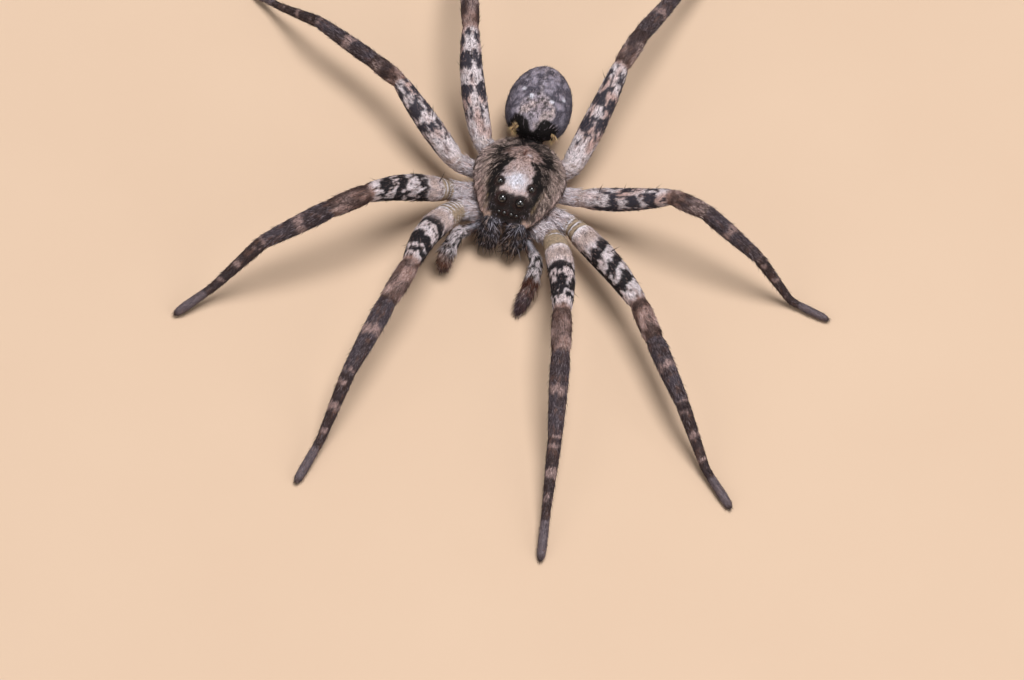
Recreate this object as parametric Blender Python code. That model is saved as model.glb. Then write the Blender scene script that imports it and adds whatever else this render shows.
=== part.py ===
"""Wolf spider, life size, standing still: faceted solids, one named object for each part of the body.

The spider faces -Y and its left side is +X. Lengths below are millimetres and angles are degrees.
Sizes include the depth of the short coat of hair.
"""
import math

import bmesh
import bpy
from mathutils import Vector
from mathutils.bvhtree import BVHTree

MM = 0.001
CUT = 0.07              # width of the thin cut between two neighbouring parts

# Legs: where the femur starts (sideways, forward), where the coxa starts, and a thickness factor.
HIP = {1: (3.3, 3.1), 2: (4.3, 1.8), 3: (4.3, -0.6), 4: (3.0, -2.6)}
COXA_START = {1: (1.0, 1.72), 2: (1.66, 0.65), 3: (1.66, -0.65), 4: (1.03, -1.78)}
HIP_HEIGHT = 2.3
COXA_START_HEIGHT = 1.6
GIRTH = {1: 1.0, 2: 1.0, 3: 0.88, 4: 0.93}
LEG_SIDES = 12

# Length of the femur, patella, tibia, metatarsus and tarsus of each pair of legs.
LEG_LENGTHS = {
    1: (7.3, 3.1, 5.6, 4.6, 3.3),
    2: (7.4, 2.7, 4.8, 4.4, 3.1),
    3: (6.5, 2.4, 4.8, 4.1, 2.8),
    4: (7.8, 2.9, 6.1, 7.2, 3.6),
}

# Stance: heading of the five segments, away from straight ahead, then the rise of the first four,
# then how far the middle of the femur bows outward and upward. The tarsus slopes down by whatever
# brings its tip to the floor.
STANCE = {
    ("right", 1): ((13, 13, 10, 8, 12), (21, -9, -7, -38), (0.42, 0.30)),
    ("right", 2): ((45, 47, 50, 44, 42), (30.5, -5, -17.5, -42), (0.24, 0.40)),
    ("right", 3): ((126, 121, 115, 121, 121), (16, -8, -4, -30), (0.24, 0.26)),
    ("right", 4): ((155, 163, 165, 162, 160), (26, 3, -18, -25), (0.34, 0.26)),
    ("left", 1): ((16, 13, 13, 10, 10), (18, -1, -19, -19), (0.24, 0.26)),
    ("left", 2): ((48, 38, 36, 41, 47), (8, -9, -3, -27), (0.22, 0.22)),
    ("left", 3): ((88, 80, 80, 79, 81), (31, 1, -28, -45), (0.24, -0.12)),
    ("left", 4): ((170, 167, 164, 161, 158), (22, 2, -16, -22), (0.14, 0.30)),
}
TOE_HEIGHT = 0.27       # height of the middle of the tarsus tip above the floor

# Thickness along each segment: (share of its length, diameter).
COXA_SHAPE = ((0.0, 1.10), (0.5, 1.34), (1.0, 1.44))
FEMUR_SHAPE = ((0.0, 1.46), (0.13, 1.72), (0.36, 1.84), (0.62, 1.70), (0.86, 1.46), (1.0, 1.26))
PATELLA_SHAPE = ((0.0, 1.26), (0.3, 1.36), (0.7, 1.36), (1.0, 1.22))
TIBIA_SHAPE = ((0.0, 1.22), (0.2, 1.30), (0.5, 1.22), (0.8, 1.06), (1.0, 0.94))
METATARSUS_SHAPE = ((0.0, 0.94), (0.15, 0.92), (0.5, 0.80), (0.85, 0.68))
TARSUS_SHAPE = ((0.0, 0.62), (0.2, 0.62), (0.7, 0.66), (0.9, 0.60), (1.0, 0.40))

# Palps: where they start, the lengths of femur, patella, tibia and tarsus, and how they are held.
PALP_START = (1.34, 2.82, 1.4)
PALP_LENGTHS = (2.5, 0.9, 1.0, 1.75)
PALP_STANCE = {
    "right": ((36, 15, 6, 2), (18.5, 0, -22, -96)),
    "left": ((33, 4, -3, -10), (10, -20, -25, -26)),
}
PALP_SHAPE = (
    (0.0, 0.52), (0.12, 0.64), (0.28, 0.76), (0.41, 0.86), (0.50, 1.00),
    (0.65, 1.02), (0.72, 0.92), (0.86, 0.90), (0.95, 0.70), (1.0, 0.40),
)

# Carapace: stations from the clypeus to the rear edge, each with how far forward it lies, its half
# width, the height of its ridge, and the two powers that bend its cross-section.
CARAPACE_EDGE = 2.87
CARAPACE_STATIONS = (
    (3.42, 1.25, 3.02, 3.0, 0.70),
    (3.30, 1.58, 3.30, 3.0, 0.70),
    (3.05, 1.78, 3.66, 3.0, 0.72),
    (2.78, 1.96, 4.12, 3.0, 0.74),
    (2.45, 2.14, 4.52, 2.9, 0.78),
    (2.00, 2.36, 4.76, 2.8, 0.82),
    (1.30, 2.68, 4.90, 2.6, 0.86),
    (0.40, 2.98, 4.98, 2.3, 0.84),
    (-0.50, 3.08, 4.94, 2.1, 0.80),
    (-1.20, 3.00, 4.74, 2.0, 0.76),
    (-2.00, 2.64, 4.16, 2.0, 0.74),
    (-2.70, 2.10, 3.58, 2.0, 0.72),
    (-3.25, 1.46, 3.18, 2.0, 0.70),
    (-3.50, 0.85, 3.00, 2.0, 0.70),
)
CARAPACE_ACROSS = 18    # steps across the dome

STERNUM_HALF_WIDTH = 1.45
STERNUM_HALF_LENGTH = 2.05
# Sternum and body wall: rings of (height, share of the full outline), from the top down.
STERNUM_RINGS = ((CARAPACE_EDGE - CUT, 0.96), (2.2, 1.0), (1.4, 1.0), (1.15, 0.86), (1.05, 0.55))

# Abdomen: an egg whose axis leans a little to the right at the rear.
ABDOMEN_FRONT = 3.15    # distance of the front end behind the middle of the carapace
ABDOMEN_LENGTH = 6.3
ABDOMEN_LIFT = 0.75     # how far the front end rises, to clear the rear of the carapace
ABDOMEN_TUCK = 0.68     # share of the depth that the underside loses at the front end
ABDOMEN_HALF_WIDTH = 2.25
ABDOMEN_HALF_HEIGHT = 1.9
ABDOMEN_HEIGHT = 3.02
ABDOMEN_LEAN = 3.2
ABDOMEN_RINGS = 13
ABDOMEN_SIDES = 24

ABDOMEN_END_GAP = 0.35      # share of one ring step that the first and last ring keep from the tips
ABDOMEN_BLUNTNESS = (0.7, 0.4)  # power of the outline in front, and how much it gains to the rear
ABDOMEN_TAPER = 0.14        # share of the width lost from front to rear

PEDICEL_DIAMETER = 0.7
PEDICEL_HEIGHT = 2.35
PEDICEL_REACHES = (0, 0.45, 0.9)

# Spinnerets: where the cluster starts, how steeply it points down, and its (reach, diameter) rings.
SPINNERET_INSET = 0.28
SPINNERET_HEIGHT = 2.05
SPINNERET_DROP = 0.35
SPINNERET_RINGS = ((0.0, 0.85), (0.25, 0.8), (0.45, 0.6), (0.55, 0.35))

# Eyes: sideways, forward, height, diameter. Each is then seated on the carapace nearest to that place.
EYES = {
    "eye_front_middle": (0.23, 2.98, 3.50, 0.30),
    "eye_front_side": (0.58, 2.92, 3.46, 0.26),
    "eye_top_middle": (0.59, 2.54, 4.32, 0.64),
    "eye_top_rear": (1.06, 1.50, 4.66, 0.50),
}
EYE_SINK = 0.1          # how deep the middle of an eye lies under the surface, as a share of its diameter
EYE_GAP = 0.02          # room all round an eye in its socket
EYE_SEGMENTS = 12
EYE_RINGS = 7

# Chelicerae: rings of (height, forward, half width, half depth), from the clypeus to the fang.
CHELICERA_MIDDLE = 0.82
CHELICERA_RINGS = (
    (2.80, 3.42, 0.52, 0.42),
    (2.62, 3.55, 0.68, 0.58),
    (2.20, 3.74, 0.75, 0.70),
    (1.70, 3.88, 0.75, 0.71),
    (1.25, 3.95, 0.68, 0.63),
    (0.98, 3.93, 0.52, 0.48),
)
CHELICERA_SIDES = 16
# Fang: rings of (height, how far it curls inward, half width), from the jaw to the tip.
FANG_OUTSET = 0.22          # how far the fang's root lies outside the middle of the jaw
FANG_RINGS = ((0.90, 0.0, 0.24), (0.72, 0.06, 0.20), (0.58, 0.22, 0.15), (0.52, 0.42, 0.09))
FANG_SIDES = 8

COLOURS = {
    "carapace": (0.16, 0.12, 0.11),
    "abdomen": (0.17, 0.14, 0.16),
    "underside": (0.20, 0.15, 0.13),
    "leg_upper": (0.30, 0.26, 0.28),
    "leg_middle": (0.14, 0.09, 0.085),
    "leg_lower": (0.09, 0.06, 0.06),
    "jaw": (0.04, 0.03, 0.03),
    "fang": (0.05, 0.012, 0.006),
    "eye": (0.01, 0.007, 0.006),
}


def point(sideways, forward, height):
    """A place on the spider in metres: sideways is to its left, forward is the way it faces."""
    return Vector((sideways, -forward, height)) * MM


def direction(side, heading, rise):
    """Unit vector of a limb segment that points away from straight ahead by heading degrees."""
    sign = 1 if side == "left" else -1
    heading = math.radians(heading)
    rise = math.radians(rise)
    level = math.cos(rise)
    return Vector((sign * math.sin(heading) * level, -math.cos(heading) * level, math.sin(rise)))


def finish_material(name, roughness=0.7):
    """One Principled material for each kind of part, made once and shared."""
    material = bpy.data.materials.get(name)
    if material is None:
        material = bpy.data.materials.new(name)
        material.use_nodes = True
        shader = material.node_tree.nodes["Principled BSDF"]
        shader.inputs["Base Color"].default_value = (*COLOURS[name], 1.0)
        shader.inputs["Roughness"].default_value = roughness
        shader.inputs["Metallic"].default_value = 0.0
        material.diffuse_color = (*COLOURS[name], 1.0)
    return material


def add_object(name, mesh_builder, material, parent):
    """Turn a bmesh into a named, smooth-shaded object under the parent empty."""
    bmesh.ops.recalc_face_normals(mesh_builder, faces=mesh_builder.faces)
    mesh = bpy.data.meshes.new(name)
    mesh_builder.to_mesh(mesh)
    mesh_builder.free()
    mesh.shade_smooth()
    mesh.set_sharp_from_angle(angle=math.radians(50))
    mesh.materials.append(material)
    piece = bpy.data.objects.new(name, mesh)
    bpy.context.scene.collection.objects.link(piece)
    piece.parent = parent
    return piece


def loft(rings):
    """Closed bmesh through rings of equally many points, with a flat cap on each end."""
    builder = bmesh.new()
    rows = [[builder.verts.new(corner) for corner in ring] for ring in rings]
    for row, following in zip(rows, rows[1:]):
        count = len(row)
        for index in range(count):
            after = (index + 1) % count
            builder.faces.new((row[index], row[after], following[after], following[index]))
    builder.faces.new(rows[0])
    builder.faces.new(rows[-1])
    return builder


def tube_ring(centre, along, diameter, sides, plane_normal):
    """Ring round a limb's axis, slid along the axis so that it lies in the given plane."""
    across = along.cross(Vector((0, 0, 1))).normalized()
    upward = across.cross(along)
    ring = []
    for index in range(sides):
        angle = math.tau * index / sides
        spoke = (across * math.cos(angle) + upward * math.sin(angle)) * (diameter * MM / 2)
        slide = -spoke.dot(plane_normal) / along.dot(plane_normal)
        ring.append(centre + spoke + along * slide)
    return ring


def limb_rings(start, along, length, shape, planes, girth, cut=CUT, bow=None):
    """Rings of one limb segment; its end rings lie in the planes that it shares with its neighbours."""
    rings = []
    trim = cut / 2 / length
    for share, diameter in shape:
        normal = planes[0] if share == 0.0 else planes[1] if share == 1.0 else along
        place = start + along * (length * MM * min(max(share, trim), 1 - trim))
        if bow:
            place += bow * math.sin(math.pi * share)
        rings.append(tube_ring(place, along, diameter * girth, LEG_SIDES, normal))
    return rings


def rest_on_floor(rings):
    """Flatten whatever would dip below the floor, which leaves a small flat under the toe."""
    for ring in rings:
        for corner in ring:
            corner.z = max(corner.z, 0.0)


def leg_axis(side, number):
    """Joint places and unit directions of the coxa, femur, patella, tibia, metatarsus and tarsus."""
    sign = 1 if side == "left" else -1
    coxa_side, coxa_forward = COXA_START[number]
    hip_side, hip_forward = HIP[number]
    places = [point(sign * coxa_side, coxa_forward, COXA_START_HEIGHT),
              point(sign * hip_side, hip_forward, HIP_HEIGHT)]
    headings, rises, _ = STANCE[side, number]
    for index, length in enumerate(LEG_LENGTHS[number]):
        drop = (TOE_HEIGHT - places[-1].z / MM) / length
        rise = rises[index] if index < len(rises) else math.degrees(math.asin(drop))
        places.append(places[-1] + direction(side, headings[index], rise) * length * MM)
    steps = [(after - before).normalized() for before, after in zip(places, places[1:])]
    return places, steps


def build_leg(side, number, parent):
    """One leg: coxa, femur, patella, tibia, and the foot of metatarsus and tarsus."""
    places, steps = leg_axis(side, number)
    girth = GIRTH[number]
    lengths = [(after - before).length / MM for before, after in zip(places, places[1:])]
    outward, upward = STANCE[side, number][2]
    bow = point(outward if side == "left" else -outward, 0, upward)
    planes = [steps[0]] + [(a + b).normalized() for a, b in zip(steps, steps[1:])] + [steps[-1]]
    segments = (
        ("coxa", 0, COXA_SHAPE, "leg_upper"),
        ("femur", 1, FEMUR_SHAPE, "leg_upper"),
        ("patella", 2, PATELLA_SHAPE, "leg_middle"),
        ("tibia", 3, TIBIA_SHAPE, "leg_middle"),
    )
    for part, index, shape, colour in segments:
        rings = limb_rings(places[index], steps[index], lengths[index], shape,
                           planes[index:index + 2], girth, bow=bow if part == "femur" else None)
        add_object(f"leg_{number}_{side}_{part}", loft(rings), finish_material(colour), parent)
    foot = limb_rings(places[4], steps[4], lengths[4], METATARSUS_SHAPE, planes[4:6], girth)
    foot += limb_rings(places[5], steps[5], lengths[5], TARSUS_SHAPE, planes[5:7], girth, cut=0.0)
    rest_on_floor(foot)
    add_object(f"leg_{number}_{side}_foot", loft(foot), finish_material("leg_lower"), parent)


def build_palp(side, parent):
    """One palp: a bent tube from beside the jaw to its dark tip."""
    sign = 1 if side == "left" else -1
    places = [point(sign * PALP_START[0], PALP_START[1], PALP_START[2])]
    for heading, rise, length in zip(*PALP_STANCE[side], PALP_LENGTHS):
        places.append(places[-1] + direction(side, heading, rise) * length * MM)
    steps = [(after - before).normalized() for before, after in zip(places, places[1:])]
    total = sum(PALP_LENGTHS)
    rings = []
    travelled = 0.0
    for index, length in enumerate(PALP_LENGTHS):
        low, high = travelled / total, (travelled + length) / total
        last = index == len(PALP_LENGTHS) - 1
        for share, diameter in PALP_SHAPE:
            if not (low <= share < high or (last and share == 1.0)):
                continue
            centre = places[index] + steps[index] * ((share - low) * total * MM)
            before = steps[max(index - 1, 0)]
            near_joint = index > 0 and (share - low) * total < diameter / 2
            normal = (before + steps[index]).normalized() if near_joint else steps[index]
            rings.append(tube_ring(centre, steps[index], diameter, LEG_SIDES, normal))
        travelled += length
    add_object(f"palp_{side}", loft(rings), finish_material("leg_middle"), parent)


def build_carapace(parent):
    """Domed shield over the head and thorax, with a flat underside."""
    rings = []
    for forward, half_width, ridge, across_power, height_power in CARAPACE_STATIONS:
        ring = []
        for step in range(CARAPACE_ACROSS + 1):
            share = -math.cos(math.pi * step / CARAPACE_ACROSS)
            swell = max(1 - abs(share) ** across_power, 0.0) ** height_power
            ring.append(point(half_width * share, forward, CARAPACE_EDGE + (ridge - CARAPACE_EDGE) * swell))
        rings.append(ring)
    return add_object("carapace", loft(rings), finish_material("carapace"), parent)


def build_sternum(parent):
    """Oval plate and body wall between the coxae, under the carapace."""
    rings = []
    for height, share in STERNUM_RINGS:
        ring = []
        for index in range(ABDOMEN_SIDES):
            angle = math.tau * index / ABDOMEN_SIDES
            ring.append(point(STERNUM_HALF_WIDTH * share * math.sin(angle),
                              STERNUM_HALF_LENGTH * share * math.cos(angle), height))
        rings.append(ring)
    add_object("sternum", loft(rings), finish_material("underside"), parent)


def build_abdomen(parent):
    """Egg-shaped abdomen, blunter in front, broadest just behind its middle."""
    lean = math.radians(ABDOMEN_LEAN)
    rings = []
    for index in range(ABDOMEN_RINGS):
        turn = math.pi * (index + ABDOMEN_END_GAP) / (ABDOMEN_RINGS - 1 + 2 * ABDOMEN_END_GAP)
        share = (1 - math.cos(turn)) / 2
        swell = math.sin(turn) ** (ABDOMEN_BLUNTNESS[0] + ABDOMEN_BLUNTNESS[1] * share)
        swell *= 1 - ABDOMEN_TAPER * (share - 0.5)
        along = ABDOMEN_LENGTH * share
        lift = ABDOMEN_LIFT * (1 - share) ** 6
        tuck = ABDOMEN_TUCK * (1 - share) ** 4
        ring = []
        for corner in range(ABDOMEN_SIDES):
            angle = math.tau * corner / ABDOMEN_SIDES
            sideways = ABDOMEN_HALF_WIDTH * swell * math.sin(angle)
            height = ABDOMEN_HEIGHT + lift + ABDOMEN_HALF_HEIGHT * swell * math.cos(angle)
            height -= min(math.cos(angle), 0.0) * ABDOMEN_HALF_HEIGHT * swell * tuck
            ring.append(point(sideways * math.cos(lean) - along * math.sin(lean),
                              -ABDOMEN_FRONT - along * math.cos(lean) - sideways * math.sin(lean), height))
        rings.append(ring)
    add_object("abdomen", loft(rings), finish_material("abdomen"), parent)


def build_pedicel(parent):
    """Short waist that joins the thorax to the abdomen."""
    start = point(0, -STERNUM_HALF_LENGTH - CUT, PEDICEL_HEIGHT)
    along = Vector((0, 1, 0))
    rings = [tube_ring(start + along * reach * MM, along, PEDICEL_DIAMETER, LEG_SIDES, along)
             for reach in PEDICEL_REACHES]
    add_object("pedicel", loft(rings), finish_material("underside"), parent)


def build_spinnerets(parent):
    """Small cluster of spinnerets under the rear tip of the abdomen."""
    lean = math.radians(ABDOMEN_LEAN)
    reach = ABDOMEN_LENGTH - SPINNERET_INSET
    start = point(-reach * math.sin(lean), -ABDOMEN_FRONT - reach * math.cos(lean), SPINNERET_HEIGHT)
    along = Vector((-math.sin(lean), math.cos(lean), -SPINNERET_DROP)).normalized()
    rings = [tube_ring(start + along * step * MM, along, width, LEG_SIDES, along)
             for step, width in SPINNERET_RINGS]
    add_object("spinnerets", loft(rings), finish_material("underside"), parent)


def build_jaw(side, parent):
    """Stout chelicera under the face, and the fang folded in below it."""
    sign = 1 if side == "left" else -1
    rings = []
    for height, forward, half_width, half_depth in CHELICERA_RINGS:
        ring = []
        for index in range(CHELICERA_SIDES):
            angle = math.tau * index / CHELICERA_SIDES
            ring.append(point(sign * (CHELICERA_MIDDLE + half_width * math.sin(angle)),
                              forward + half_depth * math.cos(angle), height))
        rings.append(ring)
    add_object(f"chelicera_{side}", loft(rings), finish_material("jaw", 0.5), parent)
    fang = []
    for height, inward, half_width in FANG_RINGS:
        ring = []
        for index in range(FANG_SIDES):
            angle = math.tau * index / FANG_SIDES
            ring.append(point(sign * (CHELICERA_MIDDLE + FANG_OUTSET - inward + half_width * math.sin(angle)),
                              CHELICERA_RINGS[-1][1] + half_width * math.cos(angle), height))
        fang.append(ring)
    add_object(f"fang_{side}", loft(fang), finish_material("fang", 0.2), parent)


def sphere(centre, diameter):
    """Closed ball as a bmesh."""
    builder = bmesh.new()
    bmesh.ops.create_uvsphere(builder, u_segments=EYE_SEGMENTS, v_segments=EYE_RINGS,
                              radius=diameter * MM / 2)
    bmesh.ops.translate(builder, verts=builder.verts, vec=centre)
    return builder


def build_eyes(carapace, parent):
    """Eight eyes, each sunk in a socket that is cut from the carapace."""
    shield = carapace.data
    surface = BVHTree.FromPolygons([corner.co for corner in shield.vertices],
                                   [list(face.vertices) for face in shield.polygons])
    sockets = bmesh.new()
    for name, (sideways, forward, height, diameter) in EYES.items():
        for side, sign in (("left", 1), ("right", -1)):
            spot, outward, _, _ = surface.find_nearest(point(sign * sideways, forward, height))
            centre = spot - outward * (diameter * MM * EYE_SINK)
            add_object(f"{name}_{side}", sphere(centre, diameter), finish_material("eye", 0.05), parent)
            hollow = bpy.data.meshes.new("socket")
            ball = sphere(centre, diameter + 2 * EYE_GAP)
            ball.to_mesh(hollow)
            ball.free()
            sockets.from_mesh(hollow)
            bpy.data.meshes.remove(hollow)
    cutter = add_object("socket_cutter", sockets, finish_material("eye"), parent)
    cutter.hide_render = True
    cutter.display_type = "WIRE"
    carve = carapace.modifiers.new("sockets", "BOOLEAN")
    carve.operation = "DIFFERENCE"
    carve.solver = "EXACT"
    carve.object = cutter


def centre_on_origin(parent):
    """Move the whole spider so that the middle of its floor plan is at the origin."""
    corners = [corner.co for piece in parent.children for corner in piece.data.vertices]
    low = [min(corner[axis] for corner in corners) for axis in range(2)]
    high = [max(corner[axis] for corner in corners) for axis in range(2)]
    parent.location = (-(low[0] + high[0]) / 2, -(low[1] + high[1]) / 2, 0.0)


def main():
    for leftover in list(bpy.data.objects):
        bpy.data.objects.remove(leftover, do_unlink=True)
    spider = bpy.data.objects.new("spider", None)
    bpy.context.scene.collection.objects.link(spider)
    carapace = build_carapace(spider)
    build_eyes(carapace, spider)
    build_sternum(spider)
    build_pedicel(spider)
    build_abdomen(spider)
    build_spinnerets(spider)
    for side in ("left", "right"):
        build_jaw(side, spider)
        build_palp(side, spider)
        for number in LEG_LENGTHS:
            build_leg(side, number, spider)
    centre_on_origin(spider)
    bpy.context.view_layer.update()


main()
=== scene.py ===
"""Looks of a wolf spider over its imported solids: skin, coat, eyes, fangs, claws, bristles and stage.

The spider faces -Y and its left side is +X. Working lengths are millimetres, turned to metres at the end.
"""
import math

import bmesh
import bpy
import numpy as np
from bpy.props import FloatProperty, FloatVectorProperty, IntProperty, PointerProperty
from mathutils import Matrix, Vector
from mathutils.kdtree import KDTree


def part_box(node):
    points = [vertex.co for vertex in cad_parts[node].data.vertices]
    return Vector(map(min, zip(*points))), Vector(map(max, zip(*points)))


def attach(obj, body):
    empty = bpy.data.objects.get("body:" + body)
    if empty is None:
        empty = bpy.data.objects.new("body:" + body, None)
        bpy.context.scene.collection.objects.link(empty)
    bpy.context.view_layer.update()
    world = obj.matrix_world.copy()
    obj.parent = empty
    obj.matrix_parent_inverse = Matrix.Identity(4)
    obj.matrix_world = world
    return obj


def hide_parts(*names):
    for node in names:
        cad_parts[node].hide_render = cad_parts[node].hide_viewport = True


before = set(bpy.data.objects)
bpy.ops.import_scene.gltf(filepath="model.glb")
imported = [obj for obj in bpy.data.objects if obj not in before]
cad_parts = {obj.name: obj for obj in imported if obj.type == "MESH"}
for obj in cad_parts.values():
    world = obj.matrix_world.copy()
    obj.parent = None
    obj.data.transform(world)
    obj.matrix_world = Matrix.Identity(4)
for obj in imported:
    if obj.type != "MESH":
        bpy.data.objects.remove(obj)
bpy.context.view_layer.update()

bl_info = {
    "name": "Wolf Spider Looks",
    "version": (1, 0, 0),
    "blender": (4, 5, 0),
    "location": "3D View > Sidebar > Spider",
    "description": "Dresses the solids of a wolf spider in skin, hair, eyes, claws and bristles",
    "category": "Object",
}

MM = 0.001
SIDES = ("left", "right")
PAIRS = (1, 2, 3, 4)
LEG_PARTS = ("coxa", "femur", "patella", "tibia", "foot")
COXA, FEMUR, PATELLA, TIBIA, METATARSUS, TARSUS = range(6)
PALP_SEGMENTS = (FEMUR, PATELLA, TIBIA, TARSUS)
PALP_SHARES = (0.0, 0.407, 0.553, 0.715)        # where each palp segment starts, as a share of the palp
FOOT_JOINT_RING = 4                             # ring of the foot solid at which the tarsus starts
LIMB_RING_SIDES, FANG_RING_SIDES = 12, 8        # corners in one ring of a limb solid, and of a fang solid
TUBE_SIDES = 22                                 # corners in one ring of a limb's skin
LINE_STEP = 0.1                                 # spacing of places along a limb's middle line
WELD = 0.004                                    # corners of a solid that lie nearer than this are one
SMOOTHING = 2                                   # rounds of subdivision on a rounded solid
SKIN_FLOOR, HAIR_FLOOR, SPINE_FLOOR = 0.02, 0.01, 0.03      # lowest height of skin, hair and spine tips
NOISE_STRIDE = 17.3                             # keeps the noise of each limb apart from the next one's

# Labels of the parts that the skin is made from.
CARAPACE, ABDOMEN, STERNUM, MOUTH, PEDICEL, SPINNERETS, JAW_LEFT, JAW_RIGHT = range(8)
FIRST_LIMB = 10

# Regions of the coat, each made as a piece of its own.
COAT_CARAPACE, COAT_ABDOMEN, COAT_UNDERSIDE, COAT_JAWS, COAT_PALPS = range(1, 6)
COAT_UPPER, COAT_MIDDLE, COAT_FOOT = 10, 20, 30
QUARTERS = ("left_front", "left_back", "right_front", "right_back")

EYES = ("eye_front_middle", "eye_front_side", "eye_top_middle", "eye_top_rear")

# Carapace, from the clypeus to the rear edge: how far forward, half width, height of the ridge, and the
# two powers that bend the cross-section.
CARAPACE_EDGE = 2.87
CARAPACE_STATIONS = np.array((
    (3.42, 1.25, 3.02, 3.0, 0.70), (3.30, 1.58, 3.30, 3.0, 0.70), (3.05, 1.78, 3.66, 3.0, 0.72),
    (2.78, 1.96, 4.12, 3.0, 0.74), (2.45, 2.14, 4.52, 2.9, 0.78), (2.00, 2.36, 4.76, 2.8, 0.82),
    (1.30, 2.68, 4.90, 2.6, 0.86), (0.40, 2.98, 4.98, 2.3, 0.84), (-0.50, 3.08, 4.94, 2.1, 0.80),
    (-1.20, 3.00, 4.74, 2.0, 0.76), (-2.00, 2.64, 4.16, 2.0, 0.74), (-2.70, 2.10, 3.58, 2.0, 0.72),
    (-3.25, 1.46, 3.18, 2.0, 0.70), (-3.50, 0.85, 3.00, 2.0, 0.70)))
CARAPACE_ROWS, CARAPACE_STEPS = 70, 46      # rings along the carapace, and corners over its top
CARAPACE_AXIS_HEIGHT = 2.3
BODY_FRONT, BODY_LENGTH = 3.42, 6.92        # where the front body starts on its map, and how long it is
FOVEA = (-0.04, -1.1)                       # middle groove of the carapace: sideways, forward

ABDOMEN_FRONT = 3.15
ABDOMEN_LEAN = math.radians(3.2)
ABDOMEN_LENGTH = 6.3
ABDOMEN_AXIS_HEIGHT = 3.02


def middle_of(name):
    """Middle of a node's box in millimetres."""
    low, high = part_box(name)
    return np.array((low + high) / 2) / MM


CARAPACE_MIDDLE = middle_of("carapace")


def from_body(sideways, forward, height):
    """A place in the model, in millimetres, from its place on the spider."""
    return np.array((CARAPACE_MIDDLE[0] + sideways, CARAPACE_MIDDLE[1] - forward, height))


def to_body(places):
    """Places on the spider in millimetres: sideways to its left, forward, height."""
    return np.stack((places[:, 0] - CARAPACE_MIDDLE[0], CARAPACE_MIDDLE[1] - places[:, 1], places[:, 2]), 1)


# ---------------------------------------------------------------- small maths

def unit(vectors):
    return vectors / np.maximum(np.linalg.norm(vectors, axis=-1, keepdims=True), 1e-9)


def ramp(value, low, high):
    """0 below low, 1 above high and a smooth step between them."""
    share = np.clip((value - low) / (high - low), 0, 1)
    return share * share * (3 - 2 * share)


def hill(value, middle, width):
    """1 at the middle, falling away on both sides."""
    return np.exp(-((value - middle) / width) ** 2)


def mix(first, second, share):
    """Blend of two colours, or of two sets of them."""
    return np.asarray(first) + (np.asarray(second) - np.asarray(first)) * np.asarray(share)[..., None]


def chance(i, j, k, seed):
    """Repeatable number from 0 to 1 for each cell of a lattice."""
    mixed = (i * 73856093) ^ (j * 19349663) ^ (k * 83492791) ^ (seed * 26544357)
    mixed = mixed & 0x7FFFFFFF
    mixed = ((mixed ^ (mixed >> 13)) * 1274126177) & 0x7FFFFFFF
    return ((mixed ^ (mixed >> 16)) & 0xFFFF) / 65535.0


def grain(places, size, seed=0):
    """Smooth noise from 0 to 1 whose blotches are about as large as size."""
    scaled = places / size
    base = np.floor(scaled).astype(np.int64)
    part = scaled - base
    part = part * part * (3 - 2 * part)
    total = 0
    for corner in range(8):
        dx, dy, dz = corner & 1, corner >> 1 & 1, corner >> 2 & 1
        weight = (np.where(dx, part[:, 0], 1 - part[:, 0]) * np.where(dy, part[:, 1], 1 - part[:, 1])
                  * np.where(dz, part[:, 2], 1 - part[:, 2]))
        total = total + weight * chance(base[:, 0] + dx, base[:, 1] + dy, base[:, 2] + dz, seed)
    return total


def grains(places, *kinds):
    """Noise of several kinds, each with its stretch along the first axis, its size and its seed."""
    return [grain(places * (stretch, 1, 1), size, seed) for stretch, size, seed in kinds]


def stacked(*columns):
    """Columns of numbers side by side, where a bare number fills its whole column."""
    return np.stack(np.broadcast_arrays(*columns), 1)


def round_about(sideways, upward):
    """The way out from a part's middle line to each place: its shares sideways and upward."""
    reach = np.maximum(np.hypot(sideways, upward), 1e-6)
    return sideways / reach, upward / reach


def nearest(points, places):
    """Index of the point that lies nearest to each place."""
    tree = KDTree(len(points))
    for index, point in enumerate(points):
        tree.insert(point, index)
    tree.balance()
    return np.array([tree.find(place)[1] for place in places], dtype=int)


# ---------------------------------------------------------------- reading the solids

def opened(name):
    """A node's solid, open for work on its corners, with its doubled corners joined."""
    builder = bmesh.new()
    builder.from_mesh(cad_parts[name].data)
    bmesh.ops.remove_doubles(builder, verts=builder.verts, dist=WELD * MM)
    return builder


def node_rings(name, sides):
    """Rings of a tube-like node, from the body outwards, each an array of its corners in millimetres."""
    builder = opened(name)
    places = np.array([corner.co for corner in builder.verts]) / MM
    centre = places.mean(0)
    axis = np.linalg.svd(places - centre, full_matrices=False)[2][0]
    if axis @ (centre - middle_of("sternum")) < 0:
        axis = -axis
    ring = set(np.argsort((places - centre) @ axis)[:sides].tolist())
    corners = builder.verts
    corners.ensure_lookup_table()
    seen, rings = set(ring), []
    while ring:
        rings.append(places[sorted(ring)])
        beyond = {edge.other_vert(corners[i]).index for i in ring for edge in corners[i].link_edges}
        ring = beyond - seen
        seen |= ring
    builder.free()
    return rings


def ring_line(rings):
    """Centres and radii of a node's rings."""
    centres = np.array([ring.mean(0) for ring in rings])
    radii = np.array([np.median(np.linalg.norm(ring - ring.mean(0), axis=1)) for ring in rings])
    return centres, radii


def smoothed(values, steps):
    """Values along a line, evened out over a few steps, with both ends kept."""
    for _ in range(steps):
        inner = values.copy()
        inner[1:-1] = (values[:-2] + 2 * values[1:-1] + values[2:]) / 4
        values = inner
    return values


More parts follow.
